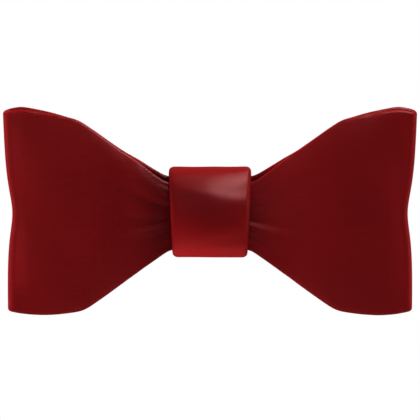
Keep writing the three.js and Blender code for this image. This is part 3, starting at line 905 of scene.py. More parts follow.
@dataclass
class BowStrip:
    """A flat satin tube with an interlining in it, folded into the bow's two wings."""

    span: float = 120.0
    thickness: float = 1.6
    ply: float = 0.3
    interlining: float = 0.4
    interlining_margin: float = 0.012
    fold_radius: float = 1.3
    notch_depth: float = 2.2
    notch_half_height: float = 9.0
    slant: float = 0.4
    sweep_back: float = 2.2
    waist_set_back: float = 0.25
    waist_gap: float = 2.6
    wing_gap: float = 1.1
    neck_length: float = 14.0
    bulge: float = 2.0
    knot_side: float = 11.9
    waist_taper: float = 0.07
    butt_gap: float = 0.8
    neck_droop: float = 0.9
    neck_stretch: tuple[float, float] = (12.0, 24.0)
    tip_droop: float = 0.55
    tip_stretch: tuple[float, float] = (38.0, 56.0)
    back_tuck: float = 0.45
    tuck_stretch: tuple[float, ...] = (20.0, 27.0, 38.0, 48.0)
    top_edge: tuple[Corner, ...] = (
        (12.9, 10.1, 1.5),
        (25.0, 18.0, 3.0),
        (38.0, 27.5, 2.0),
        (55.0, 30.95, 1.6),
        (60.0, 29.7, 1.0),
    )
    bottom_edge: tuple[Corner, ...] = (
        (11.9, 10.75, 1.0),
        (37.0, 29.65, 2.0),
        (48.5, 31.1, 4.0),
        (56.0, 30.55, 3.0),
        (60.0, 29.5, 1.0),
    )
    front_folds: tuple[Fold, ...] = (
        Fold(0.60, 0.22, 0.30, 1.35, 44.0),
        Fold(0.30, 0.30, 0.12, -0.5, 30.0),
        Fold(0.13, 0.16, 0.13, 0.45, 34.0),
        Fold(-0.14, 0.0, 0.14, -0.45, 26.0),
        Fold(-0.31, -0.02, 0.07, 0.85, 21.0),
        Fold(-0.52, 0.04, 0.18, -0.2, 24.0),
    )
    back_folds: tuple[Fold, ...] = (
        Fold(0.60, 0.05, 0.16, 0.6, 24.0),
        Fold(0.20, 0.05, 0.14, -0.6, 20.0),
        Fold(-0.25, 0.0, 0.14, 0.6, 24.0),
        Fold(-0.65, -0.05, 0.16, -0.5, 20.0),
    )
    right_calm: float = 0.48
    pressed_in_knot: float = 0.35
    pleat_rates: tuple[float, ...] = (17.0, 23.0, 31.0)
    pleat_rise: float = 0.05
    swell_rise: float = 0.22
    swell_length: float = 26.0
    pucker_rise: float = 0.07
    pucker_length: float = 5.5
    # Where the pressed edges and outer folds are, which get a painted sheen
    pressed_edge: float = 0.035
    pressed_fold: tuple[float, float] = (4.5, 1.2)
    # Painted shade by the knot: the share that follows the fold valleys, and how far it reaches
    valley_share: float = 0.15
    valley_reach: float = 20.0
    crushed_reach: float = 13.0
    binding_radius: float = 0.25
    binding_turns: int = 5
    binding_square: float = 0.28
    leaf_steps: int = 74
    fold_steps: int = 10
    across_steps: int = 60
    edge_steps: int = 5

    def __post_init__(self) -> None:
        """The waist lies a little behind the middle of the binding thread's box."""
        low, high = cad_box("waist_binding_thread")
        self.waist_y = (low[1] + high[1]) / 2 + self.waist_set_back

    def edge_height(self, points: tuple[Corner, ...], x: Array) -> Array:
        """An edge's height at x: straight runs joined by hyperbolas.

        Each corner (x0, softness) adds (new slope - old slope) * (d + sqrt(d^2 + softness^2)) / 2,
        with d = x - x0.

        Args:
            points: The edge's corners, from the knot outwards.
            x: Distance from the middle of the bow, in millimetres.

        Returns:
            Heights in millimetres, measured away from the bow's middle.
        """
        slope = self.waist_taper
        height = points[0][1] + slope * (x - points[0][0])
        for (x0, z0, softness), (x1, z1, _) in zip(points[:-1], points[1:]):
            nxt = (z1 - z0) / (x1 - x0)
            height = height + (nxt - slope) * (x - x0 + np.hypot(x - x0, softness)) / 2
            slope = nxt
        return height

    def height(self, x: Array, v: Array, front: Array) -> Array:
        """Height of the middle surface, where v runs from -1 at the bottom edge to 1 at the top.

        The front leaf's top edge droops by the knot and at the wing's outer corner, so the back
        leaf shows above it, and between these the back leaf's top edge lies lower.

        Args:
            x: Distance from the middle of the bow, in millimetres.
            v: Place across the leaf, -1 at the bottom edge to 1 at the top.
            front: 1 on the front leaf and 0 on the back leaf.

        Returns:
            Heights in millimetres, shaped as x.
        """
        half = self.thickness / 2
        top = self.edge_height(self.top_edge, x) - half
        droop = self.neck_droop * (1 - smooth(*self.neck_stretch, x))
        droop = droop + self.tip_droop * smooth(*self.tip_stretch, x)
        tuck = self.back_tuck * smooth(*self.tuck_stretch[:2], x)
        tuck = tuck * (1 - smooth(*self.tuck_stretch[2:], x))
        bottom = half - self.edge_height(self.bottom_edge, x)
        return mix(bottom, top - droop * front - tuck * (1 - front), (v + 1) / 2)

    def fold_start(self, v: Array) -> Array:
        """Where an outer fold's arc starts, nearer the waist by depth / (1 + (z / half height)^2).

        Args:
            v: Place across the leaf, -1 at the bottom edge to 1 at the top.

        Returns:
            Distances from the middle of the bow, in millimetres.
        """
        z = self.height(np.full_like(v, self.span / 2), v, np.zeros_like(v))
        notch = self.notch_depth / (1 + (z / self.notch_half_height) ** 2)
        return self.span / 2 + self.slant * v - notch - self.thickness / 2 - self.fold_radius

    def middle_y(self, x: Array) -> Array:
        """Depth midway between a wing's leaves: a parabola that sweeps back from the knot."""
        share = np.maximum(0.0, (x - self.knot_side) / (self.span / 2 - self.knot_side))
        return self.waist_y + self.sweep_back * share**2

    def gap(self, x: Array, v: Array) -> Array:
        """Half the distance between the leaves: wide at the knot, then a swell in the wing.

        The swell is bulge * (1 - v^4) * (1 - t^6), where t runs from the knot to the outer fold,
        and a smoothstep over the first half of t starts it.

        Args:
            x: Distance from the middle of the bow, in millimetres.
            v: Place across the leaf, -1 at the bottom edge to 1 at the top.

        Returns:
            Distances in millimetres, shaped as x.
        """
        end = self.fold_start(v)
        opening = smooth(self.knot_side, self.knot_side + self.neck_length, x)
        neck = mix(self.waist_gap, self.wing_gap, opening)
        edge = mix(neck, self.fold_radius, smooth(0.6 * end, end, x))
        along = np.clip((x - self.knot_side) / (end - self.knot_side), 0, 1)
        return edge + self.bulge * (1 - v**4) * smooth(0.0, 0.5, along) * (1 - along**6)

    def folds(self, x: Array, v: Array, which: tuple, side: float, seed: int) -> Array:
        """How far the gathers push a leaf outwards.

        The leaf's folds are added up. Small pleats right at the knot are cosines in v, the whole leaf has a
        slow random swell, and its edges have a finer pucker. The right wing's folds are calmer, and inside
        the knot all are squashed to about a third.

        Args:
            x: Distance from the middle of the bow, in millimetres.
            v: Place across the leaf, -1 to 1.
            which: The leaf's folds.
            side: -1 for the left wing and 1 for the right.
            seed: Seed of the random draws.

        Returns:
            Heights in millimetres, shaped as x.
        """
        beyond = np.maximum(0.0, x - self.knot_side)
        out = sum(fold.height(beyond, v) for fold in which)
        out *= self.right_calm if side > 0 else 1.0
        rng = np.random.default_rng(seed)
        for rate in self.pleat_rates:
            fade = (1 - smooth(0, rng.uniform(3, 7), beyond)) * (1 - v**8)
            out += self.pleat_rise * fade * np.cos(rate * v + rng.uniform(0, 6.28))
        away = smooth(0, 10, beyond)
        z = self.height(x, v, np.zeros_like(x))
        out += self.swell_rise * away * ripple(x * side, z, seed + 1, self.swell_length)
        pucker = self.pucker_rise * smooth(0.86, 1.0, np.abs(v)) * away
        out += pucker * ripple(x * side, 0 * z, seed + 2, self.pucker_length)
        return out * mix(self.pressed_in_knot, 1.0, smooth(self.knot_side - 4, self.knot_side, x))

    def both_sides(self, x: Array, v: Array, which: tuple, seed: int, right: Array) -> Array:
        """The left wing's folds where right is 0, and the right wing's where it is 1.

        Args:
            x: Distance from the middle of the bow, in millimetres.
            v: Place across the leaf, -1 at the bottom edge to 1 at the top.
            which: The leaf's folds.
            seed: Seed of the left wing; the right one is 10 more.
            right: 0 on the left wing and 1 on the right.

        Returns:
            Heights in millimetres, shaped as x.
        """
        left_folds = self.folds(x, v, which, -1, seed)
        return mix(left_folds, self.folds(x, v, which, 1, seed + 10), right)

    def stations(self) -> tuple[Array, Array, Array]:
        """Along the strip: share of the way out on a leaf, angle round the fold, and side.

        Returns:
            Share, angle and side of each station, from the right back end to the left back end. The
            angle is 0 on a front leaf, pi on a back leaf and between them on a fold.
        """
        share = np.linspace(self.butt_gap / self.span, 1.0, self.leaf_steps)
        turn = np.linspace(math.pi, 0, self.fold_steps + 2)[1:-1]
        ones = np.ones_like
        right_share = np.r_[share, ones(turn), share[::-1]]
        right_angle = np.r_[math.pi * ones(share), turn, 0 * share]
        shares = np.r_[right_share, 0.0, right_share[::-1]]
        angles = np.r_[right_angle, 0.0, right_angle[::-1]]
        sides = np.r_[ones(right_share), 1.0, -ones(right_share)]
        return shares, angles, sides

    def surface(self, v: Array) -> Array:
        """The strip's middle surface at every station and every v, as points.

        On a leaf x = share * fold start and y = middle -/+ (gap + folds). On a fold the point turns
        on an arc of the fold's radius from the front leaf to the back leaf.

        Args:
            v: Place across the leaf, -1 at the bottom edge to 1 at the top.

        Returns:
            Points in millimetres, stations by v.
        """
        share, angle, side = (part[:, None] for part in self.stations())
        v = np.broadcast_to(v[None, :], (len(share), len(v)))
        share, angle, side = (np.broadcast_to(part, v.shape) for part in (share, angle, side))
        start = self.fold_start(v)
        leaf_x = share * start
        front = (1 + np.cos(angle)) / 2
        gap = self.gap(leaf_x, v)
        right = (side + 1) / 2
        out_front = self.both_sides(leaf_x, v, self.front_folds, 11, right)
        out_back = self.both_sides(leaf_x, v, self.back_folds, 31, right)
        turning = (share >= 1.0) & (angle > 0) & (angle < math.pi)
        swell = np.where(turning, 0.0, 1.0) * (1 - smooth(0.93, 1.0, share))
        x = leaf_x + np.where(turning, self.fold_radius * np.sin(angle), 0.0)
        reach = np.where(turning, self.fold_radius, gap + mix(out_back, out_front, front) * swell)
        y = self.middle_y(leaf_x) - reach * np.cos(angle)
        z = self.height(x, v, front)
        return np.stack([side * x, y, z], -1)

    def rings(self, distance: float, margin: float = 0.0, across_steps: int = 0) -> tuple[Array, Array]:
        """Rings round the strip at a distance from its middle surface, with half-round edges.

        Args:
            distance: How far out the rings lie.
            margin: Share of the height left free at each edge.
            across_steps: Steps across a face, or 0 for the class's own.

        Returns:
            Points, stations by ring, and the v of each ring point.
        """
        steps = across_steps or self.across_steps
        ease = np.sin(np.linspace(-math.pi / 2, math.pi / 2, steps + 1))
        v = (0.6 * np.linspace(-1, 1, steps + 1) + 0.4 * ease) * (1 - margin)
        points, _ = thick_rings(self.surface(v), distance, self.edge_steps)
        edge = np.ones(self.edge_steps)
        return points, np.r_[v, v[-1] * edge, v[::-1], v[0] * edge]

    def cloth_place(self, points: Array) -> Array:
        """Texture coordinates in metres of cloth: length along the strip, and distance across it.

        The length is measured along the middle of the outer face, and the distance round each ring
        from that face's middle.

        Args:
            points: Points of a skin, stations by ring.

        Returns:
            Two coordinates for each point.
        """
        middle = self.across_steps // 2
        along = run_length(points[:, middle])[:, None]
        return np.stack(np.broadcast_arrays(along, ring_length(points, middle)), -1) * MM

    def point_values(self, points: Array, ring_v: Array) -> dict[str, Array]:
        """How pressed the cloth is at each point, and how much painted shade it gets.

        The pressed value is a bell at the tube's edges, and rises towards the outer folds; the shader
        smooths the cloth there and lightens it with a painted sheen. The painted shade is highest beside
        the knot, and more so in the folds' valleys, and dies away from it. It is less on the right wing, by
        the same factor as its folds.

        Args:
            points: Points of the outer skin.
            ring_v: The v of each point of a ring.

        Returns:
            The two values by name, each for every point.
        """
        x = np.abs(points[..., 0])
        v = np.broadcast_to(ring_v[None, :], x.shape)
        # Pressed edges and outer folds, which the shader lightens with a painted sheen
        edge = hump(1 - np.abs(v), 0.0, self.pressed_edge)
        outer = 0.8 * smooth(*(self.span / 2 - inset for inset in self.pressed_fold), x)
        pressed = np.clip(np.maximum(edge, outer), 0, 1)
        # Painted shade beside the knot and in the fold valleys, less on the right wing
        beyond = np.maximum(0, x - self.knot_side)
        depth = -self.folds(x, v, self.front_folds, 1, 11)
        valley = np.clip(1.2 * depth + 0.35, 0, 1) * (1 - smooth(0, self.valley_reach, beyond))
        painted_knot_shade = 1 - smooth(0, self.crushed_reach, beyond)
        gather = mix(painted_knot_shade, valley, self.valley_share)
        calm = np.where(points[..., 0] > 0, self.right_calm, 1.0)
        return {"pressed": pressed, "gather": np.clip(gather * calm, 0, 1)}

    def build_satin(self) -> Piece:
        """The satin: an outer and an inner skin a ply apart, joined at the strip's two ends.

        Returns:
            The piece.
        """
        outer, ring_v = self.rings(self.thickness / 2)
        inner, _ = self.rings(self.thickness / 2 - self.ply)
        rows, columns = outer.shape[:2]
        first = rows * columns
        faces = [quads(rows, columns), quads(rows, columns, first, True)]
        k = np.arange(columns)
        nxt = (k + 1) % columns
        faces.append(np.stack([nxt, k, first + k, first + nxt], -1))
        last = (rows - 1) * columns
        faces.append(np.stack([last + k, last + nxt, first + last + nxt, first + last + k], -1))
        points = np.concatenate([outer.reshape(-1, 3), inner.reshape(-1, 3)])
        uv = np.concatenate([self.cloth_place(skin).reshape(-1, 2) for skin in (outer, inner)])
        values = self.point_values(outer, ring_v)
        doubled = {key: np.concatenate([part.ravel(), part.ravel()]) for key, part in values.items()}
        made = make_object("bow_satin", points, faces, uv, **doubled)
        face_outwards(made)
        return made

    def build_interlining(self) -> Piece:
        """The canvas inside the satin, with its edges a little short of the satin's.

        Returns:
            The piece.
        """
        coarse = 40
        points, _ = self.rings(self.interlining / 2, self.interlining_margin, coarse)
        rows, columns = points.shape[:2]
        along = run_length(points[:, coarse // 2])[:, None]
        uv = np.stack(np.broadcast_arrays(along, points[..., 2]), -1) * MM
        faces = [quads(rows, columns), *end_caps(rows, columns)]
        made = make_object("bow_interlining", points, faces, uv)
        face_outwards(made)
        return made

    def build_binding(self) -> Piece:
        """Thread wound round the waist: a helix round a rounded rectangle fitted to its CAD box.

        Returns:
            The piece.
        """
        low, high = cad_box("waist_binding_thread")
        half = (high - low) / 2 - self.binding_radius
        angle = np.linspace(0, 2 * math.pi * self.binding_turns, 90 * self.binding_turns)
        y = half[1] * signed_power(np.cos(angle), self.binding_square)
        z = half[2] * signed_power(np.sin(angle), self.binding_square)
        x = np.linspace(-half[0], half[0], len(angle))
        path = relax(resample(np.stack([x, y, z], -1) + (high + low) / 2, 0.25), 3)
        return make_thread("waist_binding", path, np.array([1.0, 0.02, 0.02]), self.binding_radius)

    def build(self) -> None:
        """Makes and places the bow's pieces."""
        satin = place_piece(self.build_satin(), Slot.SATIN, ROOT, "bow_strip_satin")
        canvas = self.build_interlining()
        place_piece(canvas, Slot.INTERLINING, ROOT, "bow_strip_interlining")
        place_piece(self.build_binding(), Slot.THREAD, ROOT, "waist_binding_thread")
        group_of(Group.WINGS).objects.link(satin)


# ---------------------------------------------------------------- the knot


@dataclass
class Knot:
    """A padded satin band wrapped round the waist and closed by whip stitches behind."""

    width_top: float = 24.1
    width_bottom: float = 21.8
    top: float = 12.75
    bottom: float = -13.2
    wall: float = 1.2
    back_radius: float = 2.4
    middle_y: float = -9.0
    front_power: float = 2.1
    proud: float = 1.5
    crown: float = 2.3
    crease_height: float = 6.2
    crease_slope: float = 0.235
    crease_tilt: float = 0.33
    crease_softness: float = 0.5
    pulls: tuple[tuple[float, ...], ...] = (
        (0.10, 9.6, -1.0, 1.2),
        (-0.07, 8.0, -1.4, 1.2),
        (0.06, -9.4, 0.8, 1.4),
        (-0.05, -7.4, 1.0, 1.5),
    )
    ripple_rise: float = 0.035
    roll_radius: float = 1.0
    roll_depth: float = 0.7
    shaded_edge: tuple[float, float] = (0.87, 0.98)
    padding_gap: float = 0.12
    padding_half: tuple[float, float] = (9.3, 8.6)
    padding_thickness: float = 0.6
    padding_rim: float = 0.35
    padding_corner: float = 0.5
    seam_gap: float = 0.3
    seam_stitches: int = 10
    seam_radius: float = 0.2
    seam_dive: float = 0.35
    path_step: float = 0.3
    across_steps: int = 64
    edge_steps: int = 6

    def __post_init__(self) -> None:
        """The depths come from the CAD wrap's box, and the seam from its thread's box."""
        low, high = cad_box("knot_wrap_satin")
        self.front, self.back = low[1] - self.proud, high[1]
        low, high = cad_box("knot_seam_thread")
        _, self.seam_y, self.seam_z = (low + high) / 2
        self.seam_half = (high[2] - low[2]) / 2 - self.seam_radius
        self.seam_x = high[0] - self.seam_radius

    def line(self) -> Array:
        """The middle of the wall in Y and Z, from the seam's upper side round to its lower side.

        The back has straight runs and quarter circles. The front is half a superellipse,
        |y / reach|^n + |z / half height|^n = 1, whose reach leaves room for the crown.

        Returns:
            Points in millimetres, a path step apart.
        """
        wall, radius, power = self.wall / 2, self.back_radius, 2 / self.front_power
        back, top, bottom = self.back - wall, self.top - wall, self.bottom + wall
        quarter = np.linspace(0, math.pi / 2, 16)
        turn = np.linspace(math.pi / 2, -math.pi / 2, 241)[1:-1]
        depth = self.middle_y - self.reach() * np.cos(turn) ** power
        height = (top + bottom) / 2 + (top - bottom) / 2 * signed_power(np.sin(turn), power)
        near, far = radius * np.cos(quarter), radius * np.sin(quarter)
        corner = back - radius
        start = [[back, self.seam_z + self.seam_gap / 2]]
        up = np.stack([corner + near, top - radius + far], -1)
        front = np.stack([depth, height], -1)
        down = np.stack([corner + far, bottom + radius - near], -1)
        stop = [[back, self.seam_z - self.seam_gap / 2]]
        over, under = [[self.middle_y, top]], [[self.middle_y, bottom]]
        return resample(np.concatenate([start, up, over, front, under, down, stop]), self.path_step)

    def reach(self) -> float:
        """How far the middle of the wall comes forward of the knot's middle, without the crown."""
        return self.middle_y - (self.front + self.crown + self.wall / 2)

    def depth(self, x: Array, z: Array, width: Array, line_y: Array) -> Array:
        """Depth of the wall's middle, once its crown and its crease are added.

        In front of the knot's middle the line comes forward by crown * (1 - width^2), and goes back
        by tilt * log(1 + exp(height over the crease)), a soft hinge along a slanting line. Both
        grow with how far forward the line is.

        Args:
            x: Place across the band, in millimetres.
            z: Height.
            width: Place across the band as a share of its half width, -1 to 1.
            line_y: Depth of the wall's middle without crown or crease.

        Returns:
            Depths in millimetres, shaped as x.
        """
        forward = np.clip((self.middle_y - line_y) / self.reach(), 0, 1)
        over = (z - (self.crease_height - self.crease_slope * x)) / self.crease_softness
        tilt = self.crease_tilt * self.crease_softness * np.logaddexp(0.0, over)
        return line_y - forward * (self.crown * (1 - width**2) - tilt)

    def wrinkles(self, x: Array, y: Array, z: Array) -> Array:
        """Small folds where the band is pulled tight: bells across the front, and fine ripples.

        Args:
            x: Place across the band, in millimetres.
            y: Depth.
            z: Height.

        Returns:
            How far the cloth stands out, in millimetres.
        """
        on_front = 1 - smooth(self.front + 1.5, self.front + 7, y)
        share = x / (self.width_top / 2)
        pulled = sum(rise * hump(z, level + lean * share, width) for rise, level, lean, width in self.pulls)
        return on_front * pulled + self.ripple_rise * ripple(x, 2 * z + y, 61, 9.0)

    def middle(self) -> tuple[Array, Array]:
        """The wall's middle surface.

        The half width runs evenly from the bottom's to the top's. The side edges roll in on an
        ellipse, depth * (1 - sqrt(1 - t^2)), over the last roll radius of the width.

        Returns:
            Points, and length along the band.
        """
        line = self.line()
        width = np.sin(np.linspace(math.pi / 2, -math.pi / 2, self.across_steps + 1))
        share = (line[:, 1] - self.bottom) / (self.top - self.bottom)
        half = mix(self.width_bottom, self.width_top, share) / 2 - self.wall / 2
        x = half[:, None] * width[None, :]
        z = np.broadcast_to(line[:, 1, None], x.shape)
        y = self.depth(x, z, width[None, :], np.broadcast_to(line[:, 0, None], x.shape))
        points = np.stack([x, y, z], -1)
        along = np.gradient(points, axis=0)
        along[..., 0] = 0
        normal = unit(np.cross(along, np.array([1.0, 0.0, 0.0])))
        inside = np.clip((np.abs(x) - half[:, None] + self.roll_radius) / self.roll_radius, 0, 1)
        roll = self.roll_depth * (1 - np.sqrt(1 - inside**2))
        return points + (self.wrinkles(x, y, z) - roll)[..., None] * normal, run_length(line)

    def build_wrap(self) -> Piece:
        """The satin band. Its threads run across it, as the strip's run along the bow.

        Returns:
            The piece.
        """
        middle, length = self.middle()
        points, width = thick_rings(middle, self.wall / 2, self.edge_steps)
        rows, columns = points.shape[:2]
        around = ring_length(points, self.across_steps // 2)
        uv = np.stack(np.broadcast_arrays(around, length[:, None]), -1) * MM
        values = {
            # Painted sheen on the band's pressed edges
            "pressed": np.broadcast_to(hump(1 - np.abs(width), 0.0, 0.02), (rows, columns)),
            # Painted shade on the band's rolled side edges
            "gather": np.broadcast_to(smooth(*self.shaded_edge, np.abs(width)), (rows, columns)),
        }
        faces = [quads(rows, columns), *end_caps(rows, columns)]
        made = make_object("knot_wrap", points, faces, uv, **values)
        face_outwards(made)
        return made

    def build_padding(self) -> Piece:
        """The wadding: a slab that follows the inside of the band's front.

        Its outline is a superellipse, and its thickness fades at the edge as a power of the sine.

        Returns:
            The piece.
        """
        lat = np.linspace(-math.pi / 2, math.pi / 2, 41)[:, None]
        lon = np.linspace(0, 2 * math.pi, 97)[:-1][None, :]
        outwards = signed_power(np.cos(lat), self.padding_rim)
        x = self.padding_half[0] * outwards * signed_power(np.cos(lon), self.padding_corner)
        z = self.padding_half[1] * outwards * signed_power(np.sin(lon), self.padding_corner)
        middle = (self.top + self.bottom) / 2
        half = (self.top - self.bottom - self.wall) / 2
        fall = (np.abs(z - middle) / half) ** self.front_power
        line_y = self.middle_y - self.reach() * (1 - fall) ** (1 / self.front_power)
        wall_y = self.depth(x, z, x / (self.width_top / 2 - self.wall / 2), line_y)
        centre = wall_y + self.wall / 2 + self.padding_gap + self.padding_thickness / 2
        loft = self.padding_thickness / 2 * signed_power(np.sin(lat), 0.6)
        y = centre + loft + 0.03 * ripple(x, z, 71, 3.0)
        points = np.stack([x, y, z], -1)
        made = make_object("knot_wadding", points, [quads(*points.shape[:2])])
        face_outwards(made, merge=0.02)
        return made

    def build_seam(self) -> Piece:
        """Whip stitches over the seam: a zigzag that lies on the cloth, with ends that dive in.

        Returns:
            The piece.
        """
        turns = 2 * self.seam_stitches
        x = np.linspace(-self.seam_x, self.seam_x, turns + 1)
        z = self.seam_z + self.seam_half * np.where(np.arange(turns + 1) % 2, 1.0, -1.0)
        path = resample(np.stack([x, np.full_like(x, self.seam_y), z], -1), 0.08)
        lift = np.abs(path[:, 2] - self.seam_z) / self.seam_half
        path[:, 1] -= self.seam_dive * smooth(0.75, 1.0, lift)
        across = np.array([0.03, 1.0, 0.03])
        return make_thread("knot_seam", relax(path, 4), across, self.seam_radius, 10)

    def build(self) -> None:
        """Makes and places the knot's pieces."""
        wrap = place_piece(self.build_wrap(), Slot.SATIN, ROOT, "knot_wrap_satin")
        length = float(run_length(self.line())[-1]) * MM
        padding = place_piece(self.build_padding(), Slot.PADDING, ROOT, "knot_padding")
        group_of(Group.KNOT).objects.link(wrap)
        place_piece(self.build_seam(), Slot.THREAD, ROOT, "knot_seam_thread")


# ---------------------------------------------------------------- the clip


class Side(Enum):
    """A side of the clip, seen from the front of the bow."""

    LEFT = -1
    RIGHT = 1

    @property
    def word(self) -> str:
        """The side in lower case, as node names have it."""
        return self.name.lower()


@dataclass
class CollarClip:
    """A nickel-plated base plate with two sprung jaws, sewn to the back of the knot."""

    bevel: float = 0.14
    wire: float = 0.25
    coil_radius: float = 1.4
    coil_turns: int = 3
    pitch: float = 0.7
    leg: float = 5.6
    stitch_radius: float = 0.25
    stitch_square: float = 0.35
    strands: int = 3
    wire_points: int = 420
    pins: dict[str, Array] = field(default_factory=dict)

    def __post_init__(self) -> None:
        """The hinge axes come from the joints."""
        for joint in frame["joints"]:
            self.pins[joint["child"]] = np.array(joint["pos_m"]) / MM

    def stamped(self, node: str, name: str, body: str, slot: Slot) -> Piece:
        """A copy of a CAD node with clean faces and rounded edges, as a stamping has.

        Args:
            node: The CAD node.
            name: The new piece's name.
            body: The body it rides on.
            slot: Its finish.

        Returns:
            The piece.
        """
        source = frame["nodes"][node].data
        work = bmesh.new()
        work.from_mesh(source)
        bmesh.ops.remove_doubles(work, verts=work.verts, dist=0.01 * MM)
        bmesh.ops.dissolve_limit(work, angle_limit=math.radians(1.0), verts=work.verts, edges=work.edges)
        mesh = bpy.data.meshes.new(name)
        work.to_mesh(mesh)
        work.free()
        made = bpy.data.objects.new(name, mesh)
        bpy.context.scene.collection.objects.link(made)
        rounded = made.modifiers.new("rounded", "BEVEL")
        rounded.width = self.bevel * MM
        rounded.segments = 3
        rounded.limit_method = "ANGLE"
        rounded.angle_limit = math.radians(38)
        rounded.harden_normals = True
        mesh.shade_smooth()
        return place_piece(made, slot, body, node)

    def spring_path(self, side: Side) -> Array:
        """The torsion spring's wire: a leg on the plate, turns round the pin, a leg under the lever.

        The legs are tangents of the coil. Their slopes are found from the CAD spring's box, which
        their ends reach.

        Args:
            side: Which spring.

        Returns:
            Points along the middle of the wire, in millimetres.
        """
        low, high = cad_box(f"{side.word}_torsion_spring")
        pin = self.pins[f"{side.word}_jaw"]
        radius = self.coil_radius
        down = math.asin((radius - (pin[1] - low[1] - self.wire)) / self.leg)
        reach = high[1] - pin[1] - self.wire
        rise = math.asin(reach / math.hypot(radius, self.leg)) - math.atan2(radius, self.leg)
        start = -math.pi / 2 - down
        stop = math.pi / 2 - rise + 2 * math.pi * self.coil_turns
        coil = (stop - start) * radius
        s = np.linspace(-self.leg, coil + self.leg, self.wire_points)
        turned = np.clip(s, 0, coil)
        angle = start + turned / radius
        beyond = s - turned
        x = radius * np.cos(angle) - beyond * np.sin(angle)
        y = radius * np.sin(angle) + beyond * np.cos(angle)
        z = self.pitch * (turned - coil / 2) / (2 * math.pi * radius)
        sign = side.value
        return np.stack([pin[0] + sign * x, pin[1] + y, sign * z], -1)

    def build_spring(self, side: Side) -> None:
        """Makes a torsion spring that winds round the pin between the plate and the jaw.

        Args:
            side: Which spring.
        """
        path = self.spring_path(side)
        made = make_thread(f"{side.word}_spring", path, np.array([0.01, 0.01, 1.0]), self.wire, 14, 0)
        dress(made, Slot.SPRING_STEEL)
        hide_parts(f"{side.word}_torsion_spring")
        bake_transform(made)
        LOG.info("%s: %d faces, winds between the plate and the jaw", made.name, len(made.data.polygons))

    def build_stitch(self, side: Side) -> None:
        """Makes the sewing thread through two of the plate's holes.

        It is a helix round a rounded rectangle fitted to its CAD box, so its strands lie side by
        side.

        Args:
            side: Which thread.
        """
        low, high = cad_box(f"clip_stitch_{side.word}")
        centre, half = (low + high) / 2, (high - low) / 2 - self.stitch_radius
        angle = np.linspace(-math.pi, math.pi, 160)[:-1] + 0.02
        strand = 0.5 * self.stitch_radius
        y = half[1] * signed_power(np.cos(angle), self.stitch_square)
        z = half[2] * signed_power(np.sin(angle), self.stitch_square)
        path = []
        for k in range(self.strands):
            spread = (k - (self.strands - 1) / 2) * 2 * strand
            drift = spread + 2 * strand * (angle + math.pi) / (2 * math.pi)
            path.append(np.stack([drift, -y, z], -1) + centre)
        line = relax(resample(np.concatenate(path), 0.1), 3)
        across = np.array([1.0, 0.03, 0.03])
        made = make_thread(f"clip_sewing_{side.word}", line, across, strand, 8, 2, 1.2)
        place_piece(made, Slot.THREAD, ROOT, f"clip_stitch_{side.word}")

    def build(self) -> None:
        """Makes and places the clip's pieces."""
        self.stamped("clip_base_plate", "clip_plate", ROOT, Slot.NICKEL)
        for side in Side:
            self.stamped(f"{side.word}_jaw", f"clip_jaw_{side.word}", f"{side.word}_jaw", Slot.NICKEL)
            self.stamped(f"{side.word}_hinge_pin", f"clip_pin_{side.word}", ROOT, Slot.NICKEL)
            self.build_spring(side)
            self.build_stitch(side)


# ---------------------------------------------------------------- the studio


RED_GLOW: Colour = (1.0, 0.40, 0.40)


class Reach(Enum):
    """What a light does: it lights surfaces, or it is mirrored in them."""

    SOFT = "soft"
    GLINT = "glint"


@dataclass(frozen=True)
class SoftBox:
    """A square light that points at the bow, and reaches all of it or one group of pieces."""

    name: str
    place: tuple[float, float, float]
    size: float
    power: float
    reach: Reach = Reach.SOFT
    only: Group | None = None
    colour: Colour = WHITE

    def build(self, aim: Vector) -> None:
        """Makes the light.

        Args:
            aim: The point that it faces.
        """
        data = bpy.data.lights.new(self.name, "AREA")
        data.size = self.size
        data.energy = self.power
        data.color = self.colour
        made = bpy.data.objects.new(self.name, data)
        made.location = self.place
        made.rotation_mode = "QUATERNION"
        made.rotation_quaternion = (aim - Vector(self.place)).to_track_quat("-Z", "Y")
        made.visible_camera = False
        made.visible_diffuse = self.reach is Reach.SOFT
        made.visible_glossy = self.reach is Reach.GLINT
        if self.only:
            made.light_linking.receiver_collection = group_of(self.only)
        bpy.context.scene.collection.objects.link(made)


